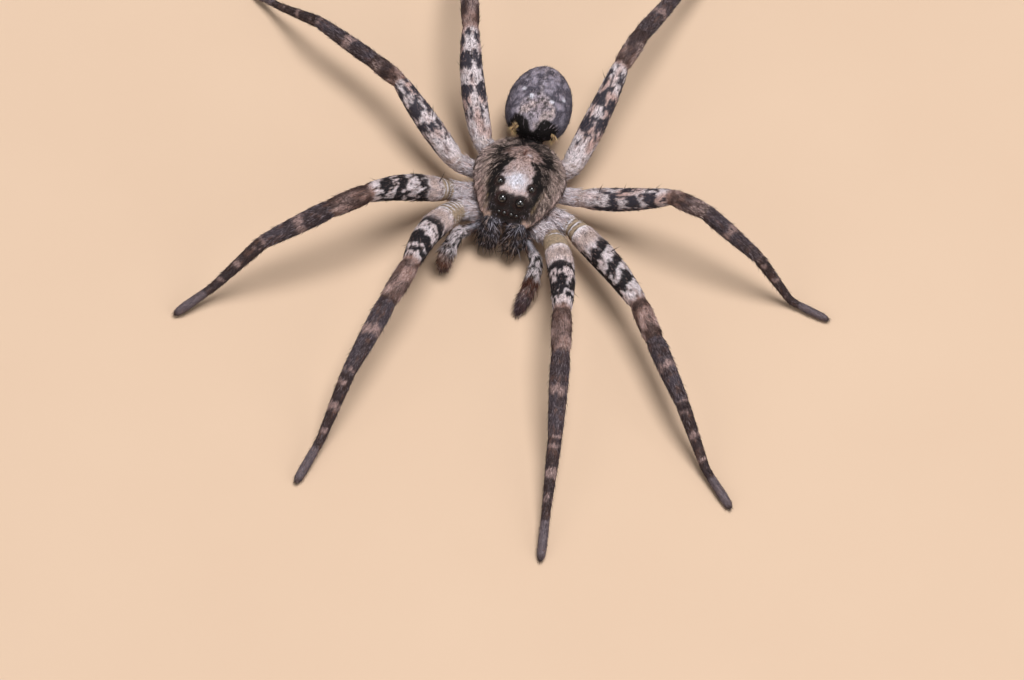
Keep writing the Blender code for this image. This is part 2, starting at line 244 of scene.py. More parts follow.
class Limb:
    """The middle line of a leg or palp: places, thickness, and which segment each place belongs to."""

    def __init__(self, side, pair, places, radii, stops):
        self.side, self.pair = side, pair
        reach = np.concatenate(([0], np.cumsum(np.linalg.norm(np.diff(places, axis=0), axis=1))))
        count = int(reach[-1] / LINE_STEP) + 2
        self.along = np.linspace(0, reach[-1], count)
        line = np.stack([np.interp(self.along, reach, places[:, axis]) for axis in range(3)], 1)
        self.places = smoothed(line, 7)
        self.radii = smoothed(np.interp(self.along, reach, radii), 3)
        starts = np.array([reach[stop] if isinstance(stop, int) else stop * reach[-1] for stop, _ in stops])
        kinds = np.array([kind for _, kind in stops])
        ends = np.append(starts[1:], reach[-1])
        index = np.clip(np.searchsorted(starts, self.along, side="right") - 1, 0, len(starts) - 1)
        self.segment = kinds[index]
        self.share = (self.along - starts[index]) / (ends[index] - starts[index])
        self.joints = starts[1:]
        self.lengths = dict(zip(kinds.tolist(), ends - starts))
        self.heading = unit(np.gradient(self.places, axis=0))
        across = unit(np.cross(self.heading, (0.0, 0.0, 1.0)))
        self.upward = np.cross(across, self.heading)
        self.front = across if side == "left" else -across


def read_limbs():
    """Every leg and palp, from the rings of its solids."""
    limbs = []
    for side in SIDES:
        for pair in PAIRS:
            places, radii, stops = [], [], []
            for part in LEG_PARTS:
                centres, sizes = ring_line(node_rings(f"leg_{pair}_{side}_{part}", LIMB_RING_SIDES))
                if places:      # neighbouring solids share one joint
                    centres[0] = (centres[0] + places.pop()) / 2
                    radii.pop()
                kind = LEG_PARTS.index(part)
                stops.append((len(places), kind))
                if part == "foot":
                    stops.append((len(places) + FOOT_JOINT_RING, TARSUS))
                places += list(centres)
                radii += list(sizes)
            limbs.append(Limb(side, pair, np.array(places), np.array(radii), stops))
    for side in SIDES:
        centres, sizes = ring_line(node_rings(f"palp_{side}", LIMB_RING_SIDES))
        limbs.append(Limb(side, 0, centres, sizes, list(zip(PALP_SHARES, PALP_SEGMENTS))))
    return limbs


# ---------------------------------------------------------------- shapes that the skin is made from

def tube(centres, radii, headings, sides=TUBE_SIDES):
    """Corners and faces of a closed tube whose rings stand across the headings."""
    across = unit(np.cross(headings, (0.0, 0.0, 1.0)))
    upward = np.cross(across, headings)
    angles = np.linspace(0, math.tau, sides, endpoint=False)[None, :, None]
    spokes = across[:, None] * np.cos(angles) + upward[:, None] * np.sin(angles)
    return closed_rings(centres[:, None] + spokes * radii[:, None, None])


def closed_rings(rings):
    """Corners and faces of a closed surface through rings of equally many corners."""
    count, sides = rings.shape[:2]
    corners = np.concatenate((rings.reshape(-1, 3), rings[:1].mean(1), rings[-1:].mean(1)))
    here = np.arange(sides)
    after = (here + 1) % sides
    faces = []
    for row in range(count - 1):
        low, high = row * sides, (row + 1) * sides
        faces += np.stack((low + here, low + after, high + after, high + here), 1).tolist()
    first, last = count * sides, count * sides + 1
    faces += np.stack((np.full(sides, first), after, here), 1).tolist()
    end = (count - 1) * sides
    faces += np.stack((np.full(sides, last), end + here, end + after), 1).tolist()
    return corners, faces


def ball(centre, size, rows=16, sides=24):
    """Corners and faces of an egg with three half sizes."""
    turn = np.linspace(0.06, math.pi - 0.06, rows)
    angle = np.linspace(0, math.tau, sides, endpoint=False)
    rings = np.stack((np.sin(turn)[:, None] * np.cos(angle), np.sin(turn)[:, None] * np.sin(angle),
                      np.repeat(np.cos(turn)[:, None], sides, 1)), 2)
    return closed_rings(rings * np.asarray(size) + np.asarray(centre))


def carapace_at(forward):
    """Half width, ridge height and the two powers of the carapace at places along it."""
    table = CARAPACE_STATIONS[::-1]
    return [np.interp(forward, table[:, 0], table[:, column]) for column in range(1, 5)]


def carapace_shape(depth):
    """The dome of the carapace, lying inside its solid by the depth of the coat."""
    reach = CARAPACE_STATIONS[:, 0]
    forward = np.linspace(reach[0] - depth, reach[-1] + depth, CARAPACE_ROWS)
    width, ridge, across_power, height_power = (smoothed(values, 6) for values in carapace_at(forward))
    width = width - depth
    ridge = ridge - depth
    share = -np.cos(np.linspace(0, math.pi, CARAPACE_STEPS))
    swell = np.maximum(1 - np.abs(share)[None] ** across_power[:, None], 0) ** height_power[:, None]
    top = CARAPACE_EDGE + (ridge[:, None] - CARAPACE_EDGE) * swell
    under_share = share[-2:0:-3]
    under = CARAPACE_EDGE - 0.12 * (1 - under_share ** 2)
    sideways = np.concatenate((width[:, None] * share[None], width[:, None] * under_share[None] * 0.98), 1)
    height = np.concatenate((top, np.repeat(under[None], CARAPACE_ROWS, 0)), 1)
    back = (CARAPACE_MIDDLE[1] - forward)[:, None]
    return closed_rings(np.stack(np.broadcast_arrays(CARAPACE_MIDDLE[0] + sideways, back, height), 2))


def rounded_solid(name, depth):
    """Corners and faces of a node's solid, smoothed and drawn in by the depth of the coat."""
    builder = opened(name)
    bend = math.radians(60)
    bmesh.ops.join_triangles(builder, faces=builder.faces, angle_face_threshold=bend,
                             angle_shape_threshold=bend)
    bmesh.ops.scale(builder, verts=builder.verts, vec=(1 / MM,) * 3)
    bmesh.ops.recalc_face_normals(builder, faces=builder.faces)
    mesh = bpy.data.meshes.new("rounded")
    builder.to_mesh(mesh)
    builder.free()
    piece = linked("rounded", mesh)
    smoother = piece.modifiers.new("smooth", "SUBSURF")
    smoother.levels = smoother.render_levels = SMOOTHING
    result = plain_mesh(piece)
    bpy.data.objects.remove(piece)
    corners, normals = mesh_array(result.vertices, "co", 3), mesh_array(result.vertices, "normal", 3)
    faces = [list(face.vertices) for face in result.polygons]
    bpy.data.meshes.remove(result)
    return corners - normals * depth, faces


def linked(name, data):
    """A new object that holds the data, linked to the scene."""
    piece = bpy.data.objects.new(name, data)
    bpy.context.scene.collection.objects.link(piece)
    return piece


def mesh_array(items, name, width=1, kind=np.float64):
    """One number or vector for each corner, edge or face of a mesh."""
    values = np.empty(len(items) * width, dtype=kind)
    items.foreach_get(name, values)
    return values.reshape(-1, width) if width > 1 else values


def plain_mesh(piece):
    """The mesh that an object's modifiers make of it."""
    bpy.context.view_layer.update()
    evaluated = piece.evaluated_get(bpy.context.evaluated_depsgraph_get())
    return bpy.data.meshes.new_from_object(evaluated)


def limb_tube(limb, depth):
    """Skin of one limb: round at the tip, drawn in at each joint, folded where it leaves the body."""
    along = limb.along
    radii = limb.radii - depth
    for joint in limb.joints:
        radii = radii * (1 - 0.07 * hill(along, joint, 0.13))
    if limb.pair:
        hip, knee = limb.joints[:2]
        fold_end, _, _, apart, first = femur_base(limb)
        reach = fold_end * limb.lengths[FEMUR]
        starting = ramp(along, hip - 0.5, hip - 0.1)
        ending = 1 - ramp(along, hip + reach - 0.1, hip + reach + 0.1)
        folds = np.cos((along - hip - first) * math.tau / apart) * starting * ending
        radii = radii * (1 - 0.06 * hill(along, hip, 0.4) + 0.03 * folds)
        radii = radii * (1 - 0.05 * hill(along, knee, 0.35))
    to_tip = np.clip((along[-1] - 0.03 - along) / limb.radii[-1], 0.05, 1)
    radii = radii * np.sqrt(1 - (1 - to_tip) ** 2)
    return tube(limb.places, np.maximum(radii, 0.03), limb.heading)


# Eggs of flesh between the carapace and the sternum, and round the mouth: part, place and half sizes.
FLESH_EGGS = ((STERNUM, (0, 0.1, 2.45), (2.35, 3.05, 0.62)), (STERNUM, (0, 2.35, 2.45), (1.35, 0.85, 0.7)),
              (MOUTH, (-0.5, 2.5, 1.62), (0.36, 0.72, 0.5)), (MOUTH, (0.5, 2.5, 1.62), (0.36, 0.72, 0.5)),
              (MOUTH, (0, 2.15, 1.42), (0.3, 0.42, 0.3)))
WAIST_RADIUS, WAIST_RINGS = 0.33, 14


def skin_sources(limbs, depth):
    """Every closed shape that the skin joins, each with the label of its part."""
    sources = [(CARAPACE, carapace_shape(depth)), (ABDOMEN, rounded_solid("abdomen", depth)),
               (STERNUM, rounded_solid("sternum", depth * 0.6))]
    sources += [(label, ball(from_body(*place), size)) for label, place, size in FLESH_EGGS]
    low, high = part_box("pedicel")
    waist = middle_of("pedicel")
    line = stacked(waist[0], np.linspace(low.y / MM - 0.7, high.y / MM + 0.7, WAIST_RINGS), waist[2])
    heading = np.tile((0.0, 1.0, 0.0), (WAIST_RINGS, 1))
    sources.append((PEDICEL, tube(line, np.full(WAIST_RINGS, WAIST_RADIUS), heading)))
    sources += [(SPINNERETS, shape) for shape in spinneret_shapes()]
    for label, side in ((JAW_LEFT, "left"), (JAW_RIGHT, "right")):
        corners, faces = rounded_solid(f"chelicera_{side}", depth)
        top = corners[:, 2].max()
        corners[:, 2] += 0.3 * ramp(corners[:, 2], top - 0.35, top)   # reaches up under the edge of the face
        sources.append((label, (corners, faces)))
    sources += [(FIRST_LIMB + index, limb_tube(limb, depth)) for index, limb in enumerate(limbs)]
    return sources


def spinneret_shapes():
    """Two pairs of short cones under the tip of the abdomen."""
    middle = middle_of("spinnerets")
    back = np.array((-math.sin(ABDOMEN_LEAN), math.cos(ABDOMEN_LEAN), -0.3))
    back /= np.linalg.norm(back)
    across = np.array((math.cos(ABDOMEN_LEAN), math.sin(ABDOMEN_LEAN), 0.0))
    shapes = []
    for sign in (-1, 1):
        for drop, spread, length, thick in ((-0.12, 0.17, 0.5, 0.17), (0.12, 0.16, 0.46, 0.14)):
            start = middle + across * sign * spread - back * 0.4 + np.array((0, 0, drop))
            reach = np.linspace(0, length, 6)
            line = start + reach[:, None] * (back + across * sign * 0.12)
            shapes.append(tube(line, thick * (1 - 0.45 * (reach / length) ** 2), np.tile(back, (6, 1)), 12))
    shapes.append(ball(middle - back * 0.25, (0.36, 0.4, 0.3)))
    return shapes


def joined(sources):
    """All corners, faces and labels of the sources as one set."""
    corners, faces, labels, start = [], [], [], 0
    for label, (places, sides) in sources:
        corners.append(places)
        faces += [[index + start for index in face] for face in sides]
        labels.append(np.full(len(places), label))
        start += len(places)
    return np.concatenate(corners), faces, np.concatenate(labels)


def evened(places, edges, rounds):
    """Corners after a gentle smoothing that keeps their volume."""
    count = len(places)
    ends = np.concatenate((edges, edges[:, ::-1]))
    valence = np.bincount(ends[:, 0], minlength=count)[:, None]
    for turn in range(rounds * 2):
        near = np.stack([np.bincount(ends[:, 0], places[ends[:, 1], axis], count) for axis in range(3)], 1)
        places = places + (near / np.maximum(valence, 1) - places) * (0.55 if turn % 2 == 0 else -0.57)
    return places


# ---------------------------------------------------------------- markings, the same for skin and coat

class Coat:
    """What each corner of the skin carries for the coat that grows there."""

    def __init__(self, count):
        self.tone = np.zeros((count, 3))        # main colour
        self.fleck = np.zeros((count, 3))       # colour of the hairs that stand out from it
        self.flecks = np.zeros(count)           # share of those hairs
        self.lie = np.zeros((count, 3))         # the way the hairs point
        self.length = np.ones(count)            # length against the usual
        self.fullness = np.ones(count)          # hairs against the usual
        self.region = np.zeros(count, dtype=int)
        self.atlas = np.zeros((count, 3))       # start and width of the column, and height in it
        self.turn = np.zeros((count, 3))        # cosine and sine of the angle round the part

    def put(self, where, **values):
        for name, value in values.items():
            getattr(self, name)[where] = value


def colours():
    return bpy.context.scene.spider_colours


def sizes_now():
    return bpy.context.scene.spider_sizes


# Black bands of each femur: share of its length, half width, how far the front end leans outwards, strength.
FEMUR_BANDS = {
    ("left", 1): ((0.52, 0.040, -0.02, 1.0), (0.76, 0.046, 0.03, 1.0), (0.87, 0.030, 0, 0.75)),
    ("right", 1): ((0.49, 0.044, 0.04, 1.0), (0.76, 0.062, 0.02, 1.0), (0.91, 0.035, 0, 0.85)),
    ("left", 2): ((0.385, 0.045, 0.07, 1.0), (0.59, 0.046, 0.06, 1.0), (0.755, 0.050, 0.04, 0.95)),
    ("right", 2): ((0.40, 0.042, 0.0, 1.0), (0.65, 0.050, 0.05, 1.0), (0.84, 0.036, 0.06, 0.9)),
    ("left", 3): ((0.36, 0.045, 0.02, 0.95), (0.57, 0.065, 0.02, 1.0), (0.80, 0.055, 0.0, 1.0)),
    ("right", 3): ((0.42, 0.045, 0.04, 0.95), (0.62, 0.060, 0.02, 1.0), (0.84, 0.050, 0.0, 0.9)),
    ("left", 4): ((0.42, 0.050, 0.02, 1.0), (0.62, 0.055, 0.0, 1.0), (0.84, 0.060, 0.0, 0.85)),
    ("right", 4): ((0.45, 0.040, 0.0, 1.0), (0.70, 0.065, 0.0, 1.0), (0.90, 0.035, 0.0, 0.7)),
}
# How strong the painted shade along the lower side of the femur is on each pair, drawn in black.
UNDERSIDE_SHADE = (0.75, 0.95, 0.55, 0.55)
# Base of each front femur: share at which the bare folds end, middle and half width of the smooth patch, how
# far apart the folds are, and where one of them stands from the hip. The back legs have few folds and no
# patch.
FEMUR_BASE = {("left", 1): (0.24, 0.35, 0.10, 1.30, 0.45), ("right", 1): (0.25, 0.36, 0.09, 0.40, 0.05),
              ("left", 2): (0.13, 0.235, 0.085, 0.50, 0.38), ("right", 2): (0.165, 0.27, 0.09, 0.36, 0.05)}
BACK_BASE = (0.06, -1.0, 0.1, 0.36, 0.05)


def femur_base(limb):
    return FEMUR_BASE.get((limb.side, limb.pair), BACK_BASE)


def fold_tone(limb, away, up):
    """Bare khaki skin with pale rims, brown painted shade below and in its creases, by its distance from the
    hip.
    """
    paint = colours()
    _, _, _, apart, first = femur_base(limb)
    wave = 1 - 2 * np.clip(np.abs((away - first + apart / 2) % apart - apart / 2) / 0.18, 0, 1)
    # painted shade: browner on the lower side
    tone = mix(paint.khaki, paint.umber, 0.4 * ramp(-up, -0.5, 0.5))
    tone = mix(tone, mix(paint.white, paint.tan, 0.15), 0.9 * ramp(wave, 0.45, 0.7) * ramp(up, -0.6, 0.2))
    # painted shade: the creases between the folds drawn dark brown
    return mix(tone, paint.bark, 0.8 * hill(wave, 0.0, 0.3))


def femur_markings(limb, share, front, up, spot):
    """Whitish femur with ragged black bands, a smooth pale patch near its base and painted shade in black
    below.
    """
    paint = colours()
    broad, fine, dots = grains(spot, (0.5, 0.55, 1), (0.5, 0.24, 2), (0.5, 0.12, 3))
    ahead = limb.pair < 3
    fold_end, patch_middle, patch_width, _, _ = femur_base(limb)
    dark = 0 * share
    for middle, width, lean, strength in FEMUR_BANDS[limb.side, limb.pair]:
        at = share + 0.06 * (broad - 0.5) + 0.04 * (fine - 0.5) - lean * front
        dark = np.maximum(dark, strength * np.clip(1.9 * hill(at, middle, width), 0, 1))
    if not ahead:       # split into two spots by a pale line along the top
        dark = dark * (1 - 0.8 * hill(front - 0.5 * (broad - 0.5), 0, 0.16) * ramp(up, 0, 0.5))
    # painted shade: the lower side of the femur drawn black
    edge = ramp(0.3 * front - up + 0.5 * (fine - 0.5), 0.05, 0.4)
    edge = edge * ramp(share, fold_end + 0.05, fold_end + 0.15)
    dark = np.maximum(dark, edge * (1 - ramp(share, 0.80, 0.92)) * UNDERSIDE_SHADE[limb.pair - 1])
    specks = ramp(dots + 0.25 * (broad - 0.5), 0.64, 0.70) * ramp(share, fold_end + 0.05, fold_end + 0.2)
    dark = np.maximum(dark + 1.2 * (fine - 0.5) + 0.8 * (dots - 0.5) + 0.3 * (broad - 0.5), 0.9 * specks)
    mask = ramp(dark, 0.46, 0.60)
    rosy = ramp(broad, 0.4, 0.8) * (0.3 if ahead else 0.9)
    pale = mix(mix(paint.pale, paint.white, 0.5), paint.rose, rosy)
    mottle = ramp(dots if ahead else 0.5 * (dots + fine), 0.50, 0.64) * 0.6
    pale = mix(pale, mix(paint.umber, paint.bark, 0.3), mottle)
    patch = np.clip(1.6 * hill(share, patch_middle, patch_width * 0.7) * ramp(up, -0.1, 0.4), 0, 1)
    heart = np.clip(1.5 * hill(np.hypot((share - patch_middle) / patch_width, front), 0, 0.5), 0, 1)
    smooth = mix(mix(paint.pale, paint.ash, 0.1 + 0.5 * ramp(fine, 0.55, 0.8)),
                 mix(paint.tan, paint.ash, 0.3 + 0.4 * fine), 0.6 * heart)
    pale = mix(pale, smooth, patch)
    tone = mix(pale, mix(paint.soot, paint.charcoal, 0.1 if ahead else 0.4), mask * (1 - 0.85 * patch))
    folds = (1 - ramp(share + 0.02 * (fine - 0.5), fold_end - 0.02, fold_end)) * (1.0 if ahead else 0.3)
    tone = mix(tone, fold_tone(limb, share * limb.lengths[FEMUR] + 0.05 * front, up), folds)
    knee = mix(paint.umber, paint.rust, 0.5 * ramp(front - up, 0.2, 0.8))
    tone = mix(tone, knee, ramp(share, 0.95, 1.0) * 0.8)
    fleck = mix(paint.bark, paint.rose, mask)
    return tone, fleck, (0.05 + (0.17 if ahead else 0.3) * (1 - mask) * (1 - 0.5 * patch)) * (1 - folds)


def coxa_markings(limb, share, front, up, spot):
    """Pale pinkish coxa with brown hairs and painted shade below, folded and khaki where the femur starts."""
    paint = colours()
    broad, fine = grains(spot, (0.4, 0.5, 4), (0.3, 0.16, 5))
    tone = mix(mix(paint.white, paint.pale, 0.4), paint.rose, 0.05 + 0.35 * ramp(broad, 0.4, 0.8))
    # brown hairs from the fine grain, and painted shade that darkens the lower side
    tone = mix(tone, paint.umber, ramp(fine, 0.58, 0.75) * 0.55 + 0.3 * ramp(-up, 0.2, 0.9))
    folds = ramp(share, 0.86, 0.90) * (1.0 if limb.pair < 3 else 0.35)
    tone = mix(tone, fold_tone(limb, (share - 1) * limb.lengths[COXA] + 0.05 * front, up), folds)
    fleck = mix(mix(paint.bark, paint.umber, 0.5), paint.white, ramp(fine, 0.45, 0.55))
    return tone, fleck, 0.28 * (1 - folds)


def patella_markings(limb, share, front, up, spot):
    """Brown-pink and mottled, pinkest past its middle, with dark ends and painted shade below; darker on the
    back legs.
    """
    paint = colours()
    broad, fine = grains(spot, (0.6, 0.42, 6), (0.5, 0.14, 7))
    pink = 0.12 + 0.65 * ramp(fine, 0.38, 0.68) * ramp(up, -0.4, 0.4) + 0.5 * hill(share, 0.62, 0.16)
    tone = mix(mix(paint.umber, paint.slate, 0.25), mix(paint.rose, paint.ash, 0.2), np.clip(pink, 0, 1))
    blotch = ramp(broad + 0.4 * (fine - 0.5), 0.46, 0.64) * (0.5 if limb.pair == 1 else 0.75)
    # dark blotches, and painted shade that darkens the lower side
    tone = mix(tone, paint.bark, blotch + 0.25 * ramp(-up, 0.1, 0.7))
    if limb.pair > 2:
        shaded = 0.75 * ramp(share + 0.3 * (fine - 0.5), 0.15, 0.45)
        tone = mix(tone, mix(paint.bark, paint.slate, fine), shaded)
    tone = mix(tone, paint.bark, 0.8 * hill(share, 1.0, 0.05) + 0.6 * hill(share, 0.06, 0.05))
    return tone, mix(mix(paint.pale, paint.rose, 0.4), paint.bark, ramp(broad, 0.35, 0.55)), 0.38


def tibia_markings(limb, share, front, up, spot):
    """Dark, with a pale mottled ring before the middle and a pale speck at the far end."""
    paint = colours()
    broad, fine = grains(spot, (0.6, 0.4, 8), (0.4, 0.14, 9))
    speck = 0.6 * hill(share, 0.98, 0.03) * ramp(up, 0, 0.6)
    ring = 0.9 * hill(share + 0.09 * (broad - 0.5), 0.44, 0.075) + speck
    ring = ramp(ring * (0.2 + 1.5 * fine), 0.3, 0.65)
    dark = mix(paint.bark, paint.slate, 0.4 + 0.6 * ramp(broad, 0.3, 0.7))
    dark = mix(dark, paint.umber, ramp(fine, 0.6, 0.85) * 0.4)
    return mix(dark, mix(paint.rose, paint.ash, 0.35), ring * 0.85), mix(paint.ash, paint.soot, ring), 0.22


def metatarsus_markings(limb, share, front, up, spot):
    """Dark, with three rings of pale specks."""
    paint = colours()
    broad, fine = grains(spot, (0.6, 0.35, 10), (0.4, 0.13, 11))
    ring = sum(strength * hill(share + 0.08 * (broad - 0.5), middle, width)
               for middle, width, strength in ((0.10, 0.04, 0.6), (0.42, 0.05, 0.95), (0.74, 0.045, 0.8)))
    ring = ramp(ring * ramp(up, -0.5, 0.4) * (0.1 + 1.6 * fine), 0.35, 0.7)
    dark = mix(mix(paint.bark, paint.slate, 0.6 * broad), paint.umber, ramp(fine, 0.6, 0.85) * 0.4)
    return mix(dark, mix(paint.rose, paint.ash, 0.35), ring * 0.8), mix(paint.ash, paint.soot, broad), 0.2


def tarsus_markings(limb, share, front, up, spot):
    """Slate-grey, browner at the tip."""
    paint = colours()
    broad, fine = grains(spot, (0.6, 0.35, 10), (0.4, 0.13, 11))
    tone = mix(mix(paint.slate, paint.ash, 0.15 + 0.3 * fine), paint.bark, 0.5 * ramp(share, 0.8, 1))
    return tone, mix(paint.ash, paint.umber, broad), 0.3


def palp_markings(limb, segment, share, front, up, spot):
    """Pale palp with black specks, a light stripe on the femur and a dark brown end."""
    paint = colours()
    broad, fine = grains(spot, (0.8, 0.3, 12), (0.8, 0.12, 13))
    dark = ramp(fine + 0.3 * (broad - 0.5) - 0.08 * up, 0.45, 0.51)
    tone = mix(mix(paint.pale, paint.white, 0.5), paint.soot, dark)
    stripe = ramp(up, -0.1, 0.5) * hill(front, 0.1, 0.5) * ramp(broad + 0.3 * fine, 0.3, 0.6)
    femur = mix(mix(paint.soot, paint.umber, 0.5 * dark), mix(paint.mist, paint.white, broad), 0.9 * stripe)
    tone = mix(tone, femur, np.where(segment == FEMUR, 1 - ramp(share, 0.55, 0.85), 0))
    turning = (0.6, 0.85) if limb.side == "right" else (0.15, 0.4)
    brown = mix(paint.rust, paint.umber, 0.6 * fine)
    brown = mix(brown, paint.pale, 0.8 * hill(share, 0.9, 0.12) * ramp(fine, 0.4, 0.6))
    tone = mix(tone, brown, np.where(segment == TIBIA, ramp(share + 0.3 * (fine - 0.5), *turning), 0))
    tip = mix(paint.rust, paint.charcoal, 0.3 + 0.7 * broad)
    tip = mix(tip, paint.umber, 0.3 * fine + 0.5 * hill(share, 0.1, 0.12))
    tone = np.where((segment == TARSUS)[:, None], tip, tone)
    return tone, mix(paint.soot, paint.pale, dark), 0.2 * (1 - 0.5 * dark)


LEG_MARKINGS = (coxa_markings, femur_markings, patella_markings, tibia_markings, metatarsus_markings,
                tarsus_markings)
# For each segment of a leg: region of the coat, start and end on that region's map, and length of hair.
LEG_REGIONS = (COAT_UPPER, COAT_UPPER, COAT_MIDDLE, COAT_MIDDLE, COAT_FOOT, COAT_FOOT)
LEG_STARTS, LEG_ENDS = (0.0, 0.26, 0.0, 0.36, 0.0, 0.6), (0.25, 1.0, 0.35, 1.0, 0.59, 1.0)
LEG_HAIR = (1.5, 0.9, 1.0, 1.0, 0.9, 0.75)
HALF_MAP = 0.49     # width on the map of a part that shares its map with another


def limb_coat(coat, where, limb, number, places):
    """Markings, lie and length of the hair on one limb."""
    step = nearest(limb.places, places)
    offset = places - limb.places[step]
    segment, share = limb.segment[step], np.clip(limb.share[step], 0, 1)
    sideways, upward = (np.sum(offset * way[step], 1) for way in (limb.front, limb.upward))
    front, up = round_about(sideways, upward)
    spot = stacked(limb.along[step], sideways, upward) + number * NOISE_STRIDE
    if limb.pair:
        tone, fleck, flecks = np.zeros((len(where), 3)), np.zeros((len(where), 3)), np.zeros(len(where))
        for kind, markings in enumerate(LEG_MARKINGS):
            these = segment == kind
            given = (values[these] for values in (share, front, up, spot))
            tone[these], fleck[these], flecks[these] = markings(limb, *given)
        ahead = limb.pair < 3
        quarter = QUARTERS.index(f"{limb.side}_{'front' if ahead else 'back'}")
        region = np.choose(segment, LEG_REGIONS) + quarter
        low, high, length = (np.choose(segment, row) for row in (LEG_STARTS, LEG_ENDS, LEG_HAIR))
        column = 0.5 * ((limb.pair - 1) % 2)
        length = length * np.where((segment == TARSUS) & (up < -0.3), 1.3, 1.0)
        bare = (((segment == FEMUR) & (share < femur_base(limb)[0] - 0.01))
                | ((segment == COXA) & (share > 0.88)))
        fullness = np.where(bare, 0.06 if ahead else 0.5, np.where(segment <= FEMUR, 1.0, 1.1))
    else:
        tone, fleck, flecks = palp_markings(limb, segment, share, front, up, spot)
        region, low, high, fullness = COAT_PALPS, 0.0, 1.0, 1.0
        share = limb.along[step] / limb.along[-1]
        column = 0.0 if limb.side == "left" else 0.5
        length = np.where(segment >= TIBIA, 1.6, 1.1)
    coat.put(where, tone=tone, fleck=fleck, flecks=flecks, lie=limb.heading[step], length=length,
             fullness=fullness, region=region, atlas=stacked(column, HALF_MAP, low + (high - low) * share),
             turn=stacked(-up, front, 0))


# Half width of the pale middle band of the carapace at places along it.
PALE_BAND = np.array(((-2.2, 0.05), (-2.0, 0.40), (-1.7, 0.85), (-1.4, 1.05), (-1.0, 1.20), (-0.6, 1.12),
                      (-0.45, 0.70), (-0.37, 0.30), (-0.30, 0.50), (-0.1, 0.78), (0.15, 0.90), (0.7, 0.93),
                      (1.2, 0.95), (1.6, 1.06), (1.9, 1.08), (2.1, 0.88), (2.3, 0.45), (2.45, 0.05)))
# Small dark spots in that band: sideways, forward, size and strength.
BAND_SPOTS = ((-0.62, 0.74, 0.11, 0.9), (0.58, 0.80, 0.11, 0.7), (-0.42, 0.38, 0.06, 0.9),
              (0.05, 1.30, 0.05, 0.7), (-0.02, 0.95, 0.04, 0.6), (0.10, 1.62, 0.05, 0.6))


def along_body(y):
    """Place of the front body's skin along its map."""
    return np.clip((BODY_FRONT - y) / BODY_LENGTH, 0, 1)


